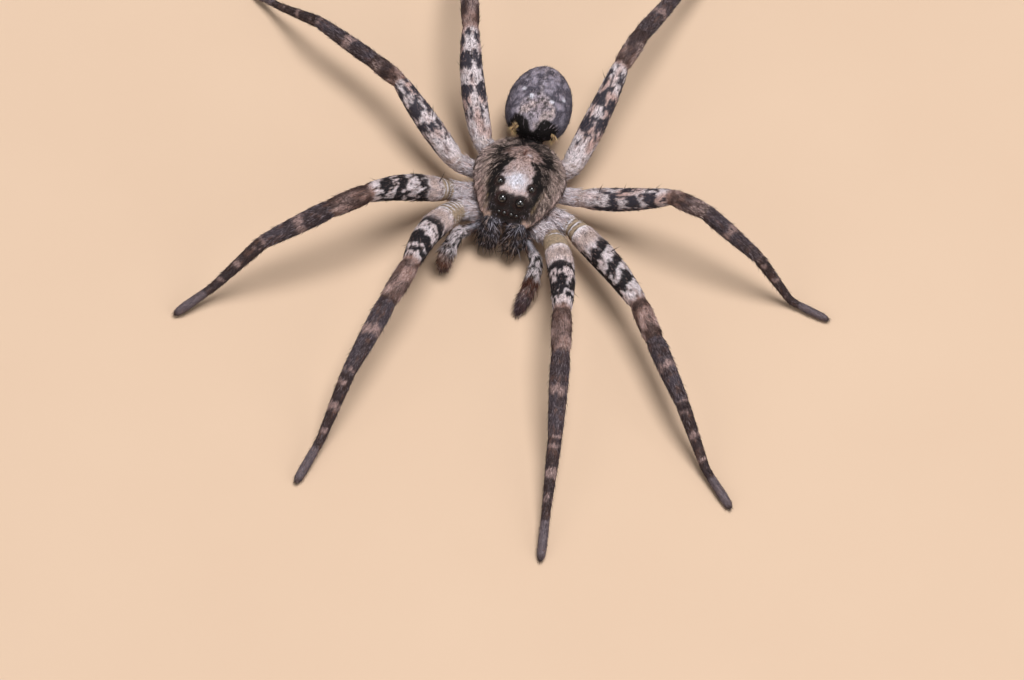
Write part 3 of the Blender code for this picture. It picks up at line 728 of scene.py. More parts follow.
def carapace_markings(place):
    """Black sides with radiating tan streaks, a pale middle band, whitest behind the eyes, and pale edges."""
    paint = colours()
    x, y = place.T[:2]
    aside = np.abs(x)
    outward = aside / np.maximum(carapace_at(y)[0], 0.3)
    bearing, distance = np.arctan2(x - FOVEA[0], y - FOVEA[1]), np.hypot(x - FOVEA[0], y - FOVEA[1])
    rays, streaks = (grain(stacked(bearing * turns, distance * along, 0), 0.5, seed)
                     for turns, along, seed in ((6, 0.5, 21), (30, 2.6, 22)))
    fine, broad = grains(place, (1, 0.13, 23), (1, 0.5, 24))
    half = np.interp(y, PALE_BAND[:, 0], PALE_BAND[:, 1])
    black = np.clip(1.5 * hill(aside - half, 0.18, 0.48 + 0.3 * (rays - 0.5)), 0, 1) * ramp(-y, -2.4, -1.6)
    black = np.maximum(black, hill(aside, 1.35, 0.28) * hill(y, 1.75, 0.75))
    flank = 0.8 * hill(outward + 0.3 * (rays - 0.5), 0.60, 0.08)
    black = np.clip(black + flank, 0, 1) * ramp(distance, 0.5, 0.9)
    brown = mix(mix(paint.umber, paint.khaki, 0.5), paint.ash, 0.4)
    side = mix(mix(paint.soot, brown, 0.25 + 0.3 * ramp(rays, 0.4, 0.7)), paint.soot, black)
    # the last term narrows the pale margin on the spider's left side (+X): painted shade on that side
    frayed = outward + 0.14 * (fine - 0.5) + 0.18 * (rays - 0.5) - 0.08 * ramp(x, 0, 1)
    margin = ramp(frayed, 0.77, 0.87) * ramp(y, -3.1, -2.4)
    rim = mix(paint.pale, paint.rose, 0.2 + 0.6 * ramp(y, 0, 2))
    side = mix(side, mix(rim, paint.bark, 0.75 * ramp(streaks, 0.48, 0.58)), margin)
    feather = 0.55 * (streaks - 0.5) * ramp(-y, 0.35, 0.6)
    ragged = 0.34 * (fine - 0.5) + 0.22 * (broad - 0.5) + 0.2 * (streaks - 0.5) + feather
    band = ramp(half - np.abs(x + 0.02) + ragged, -0.05, 0.05)
    white = np.clip(1.2 * hill(y, 1.30, 0.75) * (1.1 - 0.55 * aside / 0.8) + 0.7 * (fine - 0.55), 0, 1)
    middle = mix(paint.rose, paint.pale, 0.4)
    middle = mix(middle, paint.umber, 0.55 * ramp(fine, 0.5, 0.8) * ramp(-y, -0.2, 0.5))
    middle = mix(middle, paint.white, white)
    middle = mix(middle, paint.pale, 0.6 * ramp(y, -0.5, 0.2) * (1 - white))
    middle = mix(middle, paint.bark, ramp(streaks, 0.46, 0.58) * 0.85 * (1 - ramp(y, -0.45, -0.3)))
    grey = (0.35 + 0.5 * ramp(fine, 0.5, 0.75)) * (1 - white) * ramp(y, -0.5, -0.2)
    middle = mix(middle, mix(paint.ash, paint.umber, 0.3), grey)
    tone = mix(side, middle * 0.9, band)
    for spot_x, spot_y, size, strength in BAND_SPOTS:
        tone = mix(tone, paint.bark, strength * hill(np.hypot(x - spot_x, y - spot_y), 0, size))
    groove = hill(x - FOVEA[0] - 0.05 * (fine - 0.5), 0, 0.11)
    groove = groove * ramp(y, -1.75, -1.5) * (1 - ramp(y, -1.0, -0.7))
    tone = mix(tone, paint.rust, np.clip(groove * 1.4, 0, 1))
    tone = mix(tone, paint.white, 0.9 * hill(np.hypot(x - 0.27, y + 0.95), 0, 0.12))
    tone = mix(tone, paint.soot, ramp(outward, 0.965, 0.99) * ramp(y, -3.0, -2.6) * 0.9)
    face = ramp(y + 0.25 * (fine - 0.5) - 0.10 * aside, 2.06, 2.36) * (1 - ramp(aside, 1.25, 1.6))
    tone = mix(tone, mix(paint.soot, paint.bark, 0.45 * ramp(fine, 0.4, 0.8)), face)
    arcs = hill(aside - (1.52 + 0.28 * np.clip(2.6 - y, 0, 1.6)), 0, 0.09) * ramp(y, 0.6, 1.3)
    tone = mix(tone, mix(paint.straw, paint.tan, 0.5), arcs * 0.35 * ramp(streaks, 0.45, 0.6))
    tone = mix(tone, mix(paint.rose, paint.tan, 0.6), 0.8 * ramp(y, 3.06, 3.2) * ramp(aside, 0.95, 1.2))
    light = ramp(streaks + 0.25 * (rays - 0.5), 0.40, 0.56) * (1 - 0.94 * black)      # pale hairs in the dark
    # painted shade: fewer pale hairs on the spider's left side (+X)
    light = light * (0.78 - 0.24 * ramp(x, -0.6, 1.2) + 0.1 * ramp(outward, 0.6, 0.8))
    flecks = (light + (0.28 - light) * margin) * (1 - band) + (0.46 - 0.18 * white) * band
    flecks = flecks * (1 - face) + 0.05 * face
    dark_hair = mix(mix(paint.bark, paint.umber, 0.5), paint.ash, white)
    fleck = mix(mix(mix(paint.pale, paint.tan, 0.4), paint.bark, margin), dark_hair, band)
    return tone, mix(fleck, paint.mist, face), flecks, outward


def carapace_coat(coat, where, place, eyes):
    """Hair of the carapace: it spreads from the middle groove, and forward over the head."""
    x, y, z = place.T
    tone, fleck, flecks, outward = carapace_markings(place)
    head = ramp(y, 0.4, 1.6)[:, None]
    spread = unit(stacked(x - FOVEA[0], y - FOVEA[1], 0))
    lie = unit(spread * (1 - head) + unit(stacked(0.25 * x, 1, -0.2)) * head)
    lie[:, 1] *= -1     # forward on the spider is -Y in the model
    length = 1.1 - 0.3 * ramp(y, 1.0, 2.4) - 0.2 * (1 - ramp(np.abs(x), 0.6, 1.2))
    length = length + 0.2 * ramp(outward, 0.6, 0.9)
    fullness = 1.15 + 0 * x
    socket = mix(colours().soot, colours().rust, 0.3 * grain(place, 0.3, 25))
    for centre, radius in eyes:
        near = np.linalg.norm(place - centre, axis=1) / radius
        fullness *= ramp(near, 1.25, 1.55)
        tone = mix(tone, socket, 1 - ramp(near, 1.4, 1.9))
        length = length * (1 - 0.3 * hill(near, 1.5, 0.5))
    side, up = round_about(x, z - CARAPACE_AXIS_HEIGHT)
    coat.put(where, tone=tone, fleck=fleck, flecks=flecks, lie=lie, length=length, fullness=fullness,
             region=COAT_CARAPACE, atlas=stacked(-0.2, 1.4, along_body(y)), turn=stacked(-up, side, 0))


# Half width of the pale wedge at places along the abdomen.
WEDGE = np.array(((-0.1, -0.2), (0.2, 0.20), (0.5, 0.36), (0.85, 0.68), (1.1, 1.20), (1.5, 1.30), (2.0, 1.12),
                  (2.5, 0.7), (3.0, 0.1)))
CHEVRONS = ((3.3, 0.16), (4.1, 0.15), (4.85, 0.14))         # dark bends behind it: where, half width
WHITE_DOTS = ((-0.66, 2.46, 0.19), (0.74, 2.38, 0.17), (-1.24, 3.1, 0.14), (1.46, 3.02, 0.14))


def abdomen_markings(x, s, up, place):
    """Mottled slate-blue egg: a dotted pale wedge between two black patches in front, and four white dots."""
    paint = colours()
    fine, broad, dots, cloud = grains(place, (1, 0.16, 31), (1, 0.5, 32), (1, 0.10, 33), (1, 0.28, 34))
    top = ramp(up, 0.3, 0.85)
    light = ramp(cloud + 0.5 * (broad - 0.5), 0.42, 0.62) * (0.2 + 0.8 * top)
    night = mix(paint.soot, paint.charcoal, 0.7)
    tone = mix(night, paint.mist, np.clip((0.03 + 0.8 * light) * (0.3 + 1.1 * fine), 0, 1))
    bend = s - np.abs(x) * 0.35 + 0.3 * (cloud - 0.5)
    for at, size in CHEVRONS:
        tone = mix(tone, night, 0.6 * top * hill(bend, at, size) * ramp(broad, 0.3, 0.6))
        tone = mix(tone, paint.mist, 0.5 * top * hill(bend, at + 0.34, size) * ramp(fine, 0.3, 0.6))
    half = np.interp(s, WEDGE[:, 0], WEDGE[:, 1])
    ragged = 0.26 * (fine - 0.5) + 0.2 * (broad - 0.5)
    wedge = ramp(half - np.abs(x + 0.08) + ragged, -0.05, 0.05) * ramp(up, 0.0, 0.2)
    pale = mix(paint.pale, paint.mist, 0.3 + 0.5 * ramp(broad, 0.4, 0.6))
    pale = mix(pale, paint.umber, 0.3 * hill(np.hypot(x, s - 1.9), 0, 0.7))
    pale = mix(pale, paint.mist, ramp(s, 1.7, 2.8) * 0.6)
    pale = mix(pale, paint.soot, 0.8 * ramp(dots + 0.2 * (fine - 0.5), 0.57, 0.64))
    black = ramp(1.50 + 0.15 * (x < 0) - np.abs(x) + ragged, -0.05, 0.05) * ramp(up, -0.2, 0.1)
    black = black * (1 - ramp(s + ragged - 0.25 * hill(x, -0.95, 0.35), 0.86, 0.96))
    tone = mix(mix(tone, paint.soot, black), pale, wedge)
    tuft = hill(np.hypot(np.abs(x - 0.08) - 1.36, s - 0.30), 0, 0.36) * ramp(up, -0.1, 0.2)
    tone = mix(tone, mix(paint.umber, paint.straw, 0.4), ramp(tuft * (0.4 + 1.1 * fine), 0.65, 0.9))
    for dot_x, dot_s, size in WHITE_DOTS:
        dot = hill(np.hypot(x - dot_x, s - dot_s), 0, size) + 0.5 * (fine - 0.5)
        tone = mix(tone, paint.white, ramp(dot, 0.35, 0.5))
    belly = ramp(-up, 0.1, 0.6)
    tone = mix(tone, mix(paint.ash, paint.umber, 0.45), belly * 0.8)
    tone = mix(tone, paint.bark, 0.35 * hill(up, 0, 0.25) * (1 - tuft))
    fleck = mix(mix(paint.mist, paint.rose, 0.3), paint.soot, np.clip(wedge + belly, 0, 1))
    return tone, fleck, 0.02 + (0.12 + 0.24 * np.maximum(light, wedge)) * top * (1 - black), black, tuft


def abdomen_coat(coat, where, place):
    """Hair of the abdomen: it lies towards the spinnerets."""
    back = np.array((-math.sin(ABDOMEN_LEAN), -math.cos(ABDOMEN_LEAN), 0.0))
    across = np.array((math.cos(ABDOMEN_LEAN), -math.sin(ABDOMEN_LEAN), 0.0))
    from_front = place - np.array((0, -ABDOMEN_FRONT, ABDOMEN_AXIS_HEIGHT))
    s, x = from_front @ back, from_front @ across
    side, up = round_about(x, from_front[:, 2])
    tone, fleck, flecks, black, tuft = abdomen_markings(x, s, up, place)
    coat.put(where, tone=tone, fleck=fleck, flecks=flecks, lie=back * (1, -1, 1),
             length=0.85 + 0.35 * tuft + 0.2 * black, fullness=1.2, region=COAT_ABDOMEN,
             atlas=stacked(0, 1, np.clip(s / ABDOMEN_LENGTH, 0, 1)), turn=stacked(-up, side, 0))
    return tuft


def underside_coat(coat, where, place, label):
    """Short brownish-grey hair below the body, and on the pale walls between the carapace and the legs."""
    paint = colours()
    x, y, z = place.T
    broad, fine = grains(place, (1, 0.5, 41), (1, 0.17, 42))
    mouth, organ = (label == MOUTH)[:, None], label == SPINNERETS
    wall = ramp(z, 1.9, 2.4)
    tone = mix(mix(paint.umber, paint.ash, 0.55), paint.bark, ramp(broad, 0.5, 0.8) * 0.6)
    tone = mix(tone, mix(paint.rose, paint.ash, 0.4 * fine), wall)
    tone = np.where(mouth, mix(paint.umber, paint.rust, 0.4 * fine), tone)
    tone = np.where(organ[:, None], mix(paint.umber, paint.ash, 0.6 * fine), tone)
    lie = np.where(mouth, (0.0, -0.7, -0.7), (0.0, 1.0, 0.0))
    height = np.where(organ, 0.9 + 0.08 * ramp(-y, 8.8, 9.8), along_body(y) * 0.85)
    side, up = round_about(x, z - CARAPACE_AXIS_HEIGHT)
    coat.put(where, tone=tone, fleck=mix(paint.pale, paint.soot, broad), flecks=0.2, lie=lie,
             length=0.9 - 0.2 * wall, fullness=0.8, region=COAT_UNDERSIDE, atlas=stacked(0, 1, height),
             turn=stacked(-up, side, 0))


def jaw_coat(coat, where, place, side):
    """Black jaws with some silver-grey hair, all pointing down."""
    paint = colours()
    sign, column = (1, 0.0) if side == "left" else (-1, 0.5)
    x, y, z = place.T
    fine = grain(place * (1, 1, 0.4), 0.14, 51)
    tone = mix(paint.soot, paint.charcoal, 0.35 * fine)
    tone = mix(tone, paint.bark, 0.6 * hill(x * sign, 0.35, 0.2) * fine)
    silver = mix(mix(paint.mist, paint.white, 0.3), paint.tan, ramp(grain(place, 0.35, 52), 0.4, 0.7))
    out, ahead = round_about(x - sign * 0.82, y - 3.78)
    lie = stacked(out, 0, 0) * 0.25 + (-0.12 * sign, -0.25, -1.0)
    coat.put(where, tone=tone, fleck=silver, flecks=0.27, lie=lie, length=1.15, fullness=1.0,
             region=COAT_JAWS, atlas=stacked(column, HALF_MAP, np.clip((3.0 - z) / 2.1, 0, 1)),
             turn=stacked(-ahead, out, 0))


# ---------------------------------------------------------------- the skin

KEPT = {}       # what one operator makes and a later one uses


def eye_places():
    """Middle and radius of every eye, in millimetres on the spider."""
    found = []
    for name in EYES:
        for side in SIDES:
            low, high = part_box(f"{name}_{side}")
            found.append((to_body(middle_of(f"{name}_{side}")[None])[0], max(high - low) / MM / 2))
    return found


def sculpted(place, label, eyes):
    """How far each corner of the skin is pushed out to make its folds, rims and grooves."""
    x, y, z = place.T
    push = np.zeros(len(place))
    shield = label == CARAPACE
    groove = hill(x - FOVEA[0], 0, 0.10) * ramp(y, -1.7, -1.4) * (1 - ramp(y, -1.0, -0.75))
    bearing = np.arctan2(np.abs(x - FOVEA[0]), y - FOVEA[1])
    distance = np.hypot(x - FOVEA[0], y - FOVEA[1])
    starting, ending = ramp(distance, 0.25, 0.6), 1 - ramp(distance, 1.7, 2.6)
    rays = np.zeros(len(place))
    for angle in (28, 62, 98, 134):
        rays += hill(bearing, math.radians(angle), 0.075) * starting * ending
    push -= shield * (0.13 * groove + 0.05 * rays)
    outward = np.abs(x) / np.maximum(carapace_at(y)[0], 0.3)
    push += shield * 0.04 * hill(outward, 0.97, 0.04) * (z < 3.4)
    for centre, radius in eyes:
        near = np.linalg.norm(place - centre, axis=1)
        push += shield * 0.07 * hill(near, radius * 1.12, radius * 0.22)
    egg = label == ABDOMEN
    for spot_x, spot_y in ((-0.55, -4.9), (0.35, -4.95), (-0.75, -6.2), (0.2, -6.25)):
        push -= egg * (z > 3.5) * 0.05 * hill(np.hypot(x - spot_x, y - spot_y), 0, 0.13)
    push -= egg * (z < 2.4) * 0.05 * hill(y, -4.55, 0.10)
    return push


def object_from(name, corners, faces):
    """A new object with its mesh, linked to the scene."""
    mesh = bpy.data.meshes.new(name)
    mesh.from_pydata(np.asarray(corners).tolist(), [], faces)
    return linked(name, mesh)


def store(mesh, name, kind, values, domain="POINT"):
    """Keep values on the mesh under a name."""
    layer = mesh.attributes.get(name) or mesh.attributes.new(name, kind, domain)
    if kind == "FLOAT_COLOR":
        values = np.concatenate((values, np.ones((len(values), 1))), 1)
    target = {"FLOAT_COLOR": "color", "FLOAT_VECTOR": "vector"}.get(kind, "value")
    numbers = np.asarray(values).ravel().astype(np.int32 if kind == "INT" else np.float32)
    layer.data.foreach_set(target, numbers)


# What the skin carries: its name there, its kind, and its name in the coat.
CARRIED = (("Tone", "FLOAT_COLOR", "tone"), ("Fleck", "FLOAT_COLOR", "fleck"), ("Flecks", "FLOAT", "flecks"),
           ("Lie", "FLOAT_VECTOR", "lie"), ("Reach", "FLOAT", "length"), ("Fullness", "FLOAT", "fullness"),
           ("Atlas", "FLOAT_VECTOR", "atlas"), ("Turn", "FLOAT_VECTOR", "turn"))


def build_skin():
    """One closed skin over all soft parts, with everything that the coat needs to grow on it."""
    sizes = sizes_now()
    limbs = read_limbs()
    corners, faces, labels = joined(skin_sources(limbs, sizes.coat_depth / MM))
    rough = object_from("skin_shapes", corners, faces)
    join = rough.modifiers.new("join", "REMESH")
    join.mode = "VOXEL"
    join.voxel_size = sizes.skin_step / MM
    mesh = plain_mesh(rough)
    bpy.data.objects.remove(rough)
    mesh.name = "skin"
    edges = mesh_array(mesh.edges, "vertices", 2, np.int32)
    places = evened(mesh_array(mesh.vertices, "co", 3), edges, 3)
    label = labels[nearest(corners, places)]
    places = np.where((label == ABDOMEN)[:, None], evened(places, edges, 16), places)
    mesh.vertices.foreach_set("co", places.ravel())
    mesh.update()
    normal = mesh_array(mesh.vertices, "normal", 3)
    eyes = eye_places()
    places = places + normal * sculpted(to_body(places), label, eyes)[:, None]
    places[:, 2] = np.maximum(places[:, 2], SKIN_FLOOR)
    coat = Coat(len(places))
    body = to_body(places)
    for part in np.unique(label):
        where = np.flatnonzero(label == part)
        if part == CARAPACE:
            carapace_coat(coat, where, body[where], eyes)
        elif part == ABDOMEN:
            tuft = where[abdomen_coat(coat, where, body[where]) > 0.55]
            KEPT["tuft_roots"] = places[tuft], normal[tuft], -coat.lie[tuft]
        elif part in (JAW_LEFT, JAW_RIGHT):
            jaw_coat(coat, where, body[where], "left" if part == JAW_LEFT else "right")
        elif part >= FIRST_LIMB:
            limb_coat(coat, where, limbs[part - FIRST_LIMB], part, places[where])
        else:
            underside_coat(coat, where, body[where], label[where])
    mesh.vertices.foreach_set("co", (places * MM).ravel())
    mesh.update()
    mesh.shade_smooth()
    for name, kind, value in CARRIED:
        store(mesh, name, kind, getattr(coat, value))
    first = mesh_array(mesh.polygons, "loop_start", kind=np.int32)
    owner = mesh_array(mesh.loops, "vertex_index", kind=np.int32)
    store(mesh, "Region", "INT", coat.region[owner[first]], "FACE")
    mesh.materials.append(skin_material())
    KEPT["skin"], KEPT["limbs"] = linked("skin", mesh), limbs


# ---------------------------------------------------------------- node trees

def wire(tree, node, inputs):
    """Link or set a node's inputs, by name or number."""
    for name, value in inputs.items():
        if isinstance(value, bpy.types.NodeSocket):
            tree.links.new(value, node.inputs[name])
        else:
            node.inputs[name].default_value = value


def put(tree, kind, inputs=None, **settings):
    """Add a node, set its options, and link or set its inputs."""
    node = tree.nodes.new(kind)
    for name, value in settings.items():
        setattr(node, name, value)
    wire(tree, node, inputs or {})
    return node


def sum_of(tree, operation, *values):
    """Result of a Math node."""
    return put(tree, "ShaderNodeMath", dict(enumerate(values)), operation=operation).outputs[0]


def times(tree, first, *others):
    """Product of numbers in a node tree."""
    for other in others:
        first = sum_of(tree, "MULTIPLY", first, other)
    return first


def plus(tree, first, second):
    """Sum of two numbers in a node tree."""
    return sum_of(tree, "ADD", first, second)


def split(tree, vector):
    """The three numbers of a vector."""
    return put(tree, "ShaderNodeSeparateXYZ", {0: vector}).outputs


def vector_from(tree, *numbers):
    """A vector made of numbers, those left out being 0."""
    return put(tree, "ShaderNodeCombineXYZ", dict(enumerate(numbers))).outputs[0]


def ranged(tree, value, low, high):
    """A number from 0 to 1, stretched to run from low to high."""
    return put(tree, "ShaderNodeMapRange", {"Value": value, "To Min": low, "To Max": high}).outputs[0]


def blended(tree, share, first, second):
    """Blend of two colours."""
    return put(tree, "ShaderNodeMix", {"Factor": share, 6: first, 7: second}, data_type="RGBA").outputs[2]


def kept(tree, geometry, name, value, kind="FLOAT", domain="POINT"):
    """The geometry, carrying the value under a name from here on."""
    inputs = {"Geometry": geometry, "Name": name, "Value": value}
    return put(tree, "GeometryNodeStoreNamedAttribute", inputs, data_type=kind, domain=domain).outputs[0]


def vector_of(tree, operation, *values):
    """Result of a Vector Math node."""
    inputs = dict(enumerate(values))
    if operation == "SCALE":
        inputs = {0: values[0], "Scale": values[1]}
    return put(tree, "ShaderNodeVectorMath", inputs, operation=operation).outputs[0]


def carried(tree, name, kind="FLOAT"):
    """A value that the mesh carries under that name."""
    return put(tree, "GeometryNodeInputNamedAttribute", {"Name": name}, data_type=kind).outputs["Attribute"]


def picked(tree, low, high, seed):
    """A random number for each hair."""
    node = put(tree, "FunctionNodeRandomValue", data_type="FLOAT")
    live = [number for number, socket in enumerate(node.inputs) if socket.enabled]
    wire(tree, node, {live[0]: low, live[1]: high, "Seed": seed})
    return [socket for socket in node.outputs if socket.enabled][0]


def new_tree(name, inputs, outputs=(("Geometry", "Geometry", None),), kind="GeometryNodeTree"):
    """A node tree with named sockets; returns it with its input sockets by name and its output node."""
    tree = bpy.data.node_groups.new(name, kind)
    for label, socket, value in inputs:
        made = tree.interface.new_socket(label, in_out="INPUT", socket_type="NodeSocket" + socket)
        if value is not None:
            made.default_value = value
    for label, socket, _ in outputs:
        tree.interface.new_socket(label, in_out="OUTPUT", socket_type="NodeSocket" + socket)
    start = tree.nodes.new("NodeGroupInput")
    return tree, {socket.name: socket for socket in start.outputs}, tree.nodes.new("NodeGroupOutput")


PATCH = 0.003       # size of one hair's patch on the map


def hair_tree():
    """Node group: one tapered, bent hair on each point, with its own shade and its own patch of the map."""
    tree, given, end = new_tree("Grow hairs", (
        ("Geometry", "Geometry", None), ("Aim", "Vector", None), ("Bow", "Vector", None),
        ("Size", "Float", None), ("Thickness", "Float", 0.1), ("Flatness", "Float", 0.6),
        ("Bend", "Float", 0.1), ("Sides", "Int", 3), ("Segments", "Int", 2), ("Seed", "Int", 0),
        ("Material", "Material", None)))
    cone = put(tree, "GeometryNodeMeshCone", {
        "Vertices": given["Sides"], "Side Segments": given["Segments"], "Radius Top": 0.0,
        "Radius Bottom": 0.5, "Depth": 1.0}, fill_type="NGON")
    x, y, z = split(tree, put(tree, "GeometryNodeInputPosition").outputs[0])
    blank = kept(tree, cone.outputs["Mesh"], "Tip", z)
    blank = kept(tree, blank, "Blade", vector_from(tree, plus(tree, y, 0.5), z), "FLOAT_VECTOR")
    # Fuller near the middle than a plain cone, then bent towards the skin.
    belly = plus(tree, times(tree, sum_of(tree, "SINE", times(tree, z, math.pi)), 0.35), 1.0)
    wide = times(tree, given["Thickness"], belly)
    across = times(tree, x, wide, given["Flatness"])
    bent = sum_of(tree, "SUBTRACT", across, times(tree, z, z, given["Bend"]))
    shaped = vector_from(tree, bent, times(tree, y, wide), z)
    hair = put(tree, "GeometryNodeSetPosition", {"Geometry": blank, "Position": shaped})
    turned = put(tree, "FunctionNodeAlignRotationToVector", {"Vector": given["Aim"]}, axis="Z")
    turned = put(tree, "FunctionNodeAlignRotationToVector", {
        "Rotation": turned.outputs[0], "Vector": given["Bow"]}, axis="X", pivot_axis="Z")
    grown = put(tree, "GeometryNodeInstanceOnPoints", {
        "Points": given["Geometry"], "Instance": hair.outputs[0], "Rotation": turned.outputs[0],
        "Scale": given["Size"]}).outputs[0]
    spot = carried(tree, "Spot", "FLOAT_VECTOR")
    grown = kept(tree, grown, "Shade", picked(tree, 0.0, 1.0, given["Seed"]), domain="INSTANCE")
    grown = kept(tree, grown, "Spot", spot, "FLOAT_VECTOR", "INSTANCE")
    real = put(tree, "GeometryNodeRealizeInstances", {"Geometry": grown}).outputs[0]
    inside = vector_of(tree, "SCALE", carried(tree, "Blade", "FLOAT_VECTOR"), PATCH)
    mapped = kept(tree, real, "OFBake", vector_of(tree, "ADD", spot, inside), "FLOAT2", "CORNER")
    smooth = put(tree, "GeometryNodeSetShadeSmooth", {"Geometry": mapped})
    last = put(tree, "GeometryNodeSetMaterial", {
        "Geometry": smooth.outputs[0], "Material": given["Material"]})
    wire(tree, end, {"Geometry": last.outputs[0]})
    return tree


def coat_tree():
    """Node tree: hairs scattered over one region of the skin, lying the way the skin says."""
    tree, given, end = new_tree("Lying coat", (
        ("Geometry", "Geometry", None), ("Region", "Int", 1), ("Density", "Float", 1e8),
        ("Length", "Float", 0.0003), ("Thickness", "Float", 0.1), ("Lift", "Float", 0.25),
        ("Spread", "Float", 0.3), ("Bend", "Float", 0.1), ("Guard share", "Float", 0.06),
        ("Segments", "Int", 2), ("Seed", "Int", 0), ("Material", "Material", None)))

    def drawn(low, high, draw):
        """A random number for each hair, from a draw of its own."""
        return picked(tree, low, high, plus(tree, given["Seed"], draw))

    same = put(tree, "FunctionNodeCompare", data_type="INT", operation="EQUAL")
    live = [number for number, socket in enumerate(same.inputs) if socket.enabled]
    wire(tree, same, {live[0]: carried(tree, "Region", "INT"), live[1]: given["Region"]})
    area = put(tree, "GeometryNodeSeparateGeometry", {
        "Geometry": given["Geometry"], "Selection": same.outputs[0]}, domain="FACE")
    roots = put(tree, "GeometryNodeDistributePointsOnFaces", {
        "Mesh": area.outputs[0], "Density": times(tree, given["Density"], carried(tree, "Fullness")),
        "Seed": given["Seed"]}, distribute_method="RANDOM").outputs
    normal = roots["Normal"]
    # Hairs lie in the skin's own plane, turned a little at random, and rise from it by the lift.
    lie = carried(tree, "Lie", "FLOAT_VECTOR")
    rise = put(tree, "ShaderNodeVectorMath", {0: lie, 1: normal}, operation="DOT_PRODUCT").outputs["Value"]
    flat = vector_of(tree, "SUBTRACT", lie, vector_of(tree, "SCALE", normal, rise))
    spun = put(tree, "ShaderNodeVectorRotate", {
        "Vector": vector_of(tree, "NORMALIZE", flat), "Axis": normal,
        "Angle": drawn(times(tree, given["Spread"], -1.0), given["Spread"], 11.0)},
        rotation_type="AXIS_ANGLE").outputs[0]
    guard = sum_of(tree, "LESS_THAN", drawn(0.0, 1.0, 23.0), given["Guard share"])
    lift = plus(tree, times(tree, given["Lift"], drawn(0.5, 1.5, 31.0)), times(tree, guard, 0.30))
    aim = vector_of(tree, "ADD", vector_of(tree, "SCALE", spun, sum_of(tree, "COSINE", lift)),
                    vector_of(tree, "SCALE", normal, sum_of(tree, "SINE", lift)))
    size = times(tree, given["Length"], drawn(0.7, 1.25, 41.0), carried(tree, "Reach"),
                 plus(tree, times(tree, guard, 0.6), 1.0))
    # Place of the root on the region's own map: round the part and along it.
    turn, column = (split(tree, carried(tree, name, "FLOAT_VECTOR")) for name in ("Turn", "Atlas"))
    around = plus(tree, sum_of(tree, "DIVIDE", sum_of(tree, "ARCTAN2", turn[1], turn[0]), math.tau), 0.5)
    across = plus(tree, times(tree, around, column[1]), column[0])
    held = [put(tree, "ShaderNodeClamp", {0: value, 1: PATCH, 2: 1 - PATCH}).outputs[0]
            for value in (across, column[2])]
    placed = kept(tree, roots["Points"], "Spot", vector_from(tree, *held), "FLOAT_VECTOR")
    shared = {name: given[name] for name in ("Thickness", "Bend", "Segments", "Seed", "Material")}
    grown = put(tree, "GeometryNodeGroup", {
        "Geometry": placed, "Aim": aim, "Bow": normal, "Size": size, **shared},
        node_tree=KEPT["hair_tree"])
    wire(tree, end, {"Geometry": grown.outputs[0]})
    return tree


def bristle_tree():
    """Node tree: one bristle on each given point, which carries its own aim, bow and size."""
    tree, given, end = new_tree("Standing bristles", (
        ("Geometry", "Geometry", None), ("Thickness", "Float", 0.05), ("Bend", "Float", 0.1),
        ("Sides", "Int", 6), ("Segments", "Int", 4), ("Seed", "Int", 0), ("Material", "Material", None)))
    shared = {name: socket for name, socket in given.items() if name}
    ways = {name: carried(tree, name, "FLOAT_VECTOR") for name in ("Aim", "Bow")}
    grown = put(tree, "GeometryNodeGroup", {"Flatness": 1.0, "Size": carried(tree, "Size"), **ways, **shared},
                node_tree=KEPT["hair_tree"])
    wire(tree, end, {"Geometry": grown.outputs[0]})
    return tree


HELPER_VALUES = ("id", "Lie", "Reach", "Fullness", "Atlas", "Turn", "Region", "Spot", "Blade", "Aim", "Bow",
                 "Size")


def without_helpers(mesh):
    """Drop the values that only the growing of hair needs."""
    for name in HELPER_VALUES:
        if name in mesh.attributes:
            mesh.attributes.remove(mesh.attributes[name])


def grown_piece(name, source, tree, **values):
    """A plain mesh of what a node tree makes of the source mesh."""
    host = linked(name + "_host", source)
    modifier = host.modifiers.new("grow", "NODES")
    modifier.node_group = tree
    inputs = {item.name: item.identifier for item in tree.interface.items_tree if item.in_out == "INPUT"}
    for label, value in values.items():
        modifier[inputs[label.replace("_", " ").capitalize()]] = value
    mesh = plain_mesh(host)
    bpy.data.objects.remove(host)
    mesh.name = name
    places = mesh_array(mesh.vertices, "co", 3)
    places[:, 2] = np.maximum(places[:, 2], HAIR_FLOOR * MM)     # hair under the feet lies flat on the floor
    mesh.vertices.foreach_set("co", places.ravel())
    without_helpers(mesh)
    if not mesh.polygons:
        raise RuntimeError(f"{name} grew no hair")
    return linked(name, mesh)


# ---------------------------------------------------------------- materials

def tone_group():
    """Shader group: markings of skin and hair, some hairs in the second colour, and painted shade near the
    roots.
    """
    if "Spider markings" in bpy.data.node_groups:
        return bpy.data.node_groups["Spider markings"]
    tree, given, end = new_tree("Spider markings", (
        ("Shade", "Float", 0.5), ("Height", "Float", 1.0), ("Depth", "Float", 0.35),
        ("Variety", "Float", 0.5)),
        (("Color", "Color", None), ("Sheen", "Float", None)), "ShaderNodeTree")
    tone, fleck, flecks = (put(tree, "ShaderNodeAttribute", attribute_name=name).outputs
                           for name in ("Tone", "Fleck", "Flecks"))
    chosen = sum_of(tree, "LESS_THAN", given["Shade"], flecks["Fac"])
    base = blended(tree, chosen, tone["Color"], fleck["Color"])
    other = sum_of(tree, "FRACT", times(tree, given["Shade"], 57.31))       # a second number for each hair
    light = plus(tree, times(tree, sum_of(tree, "SUBTRACT", other, 0.5), given["Variety"]), 1.0)
    # painted shade: darker towards each hair's root, deep in the coat
    to_tip = sum_of(tree, "SUBTRACT", 1.0, given["Height"])
    root = sum_of(tree, "SUBTRACT", 1.0, times(tree, given["Depth"], to_tip))
    wire(tree, end, {"Color": vector_of(tree, "SCALE", base, times(tree, light, root)), "Sheen": other})
    return tree


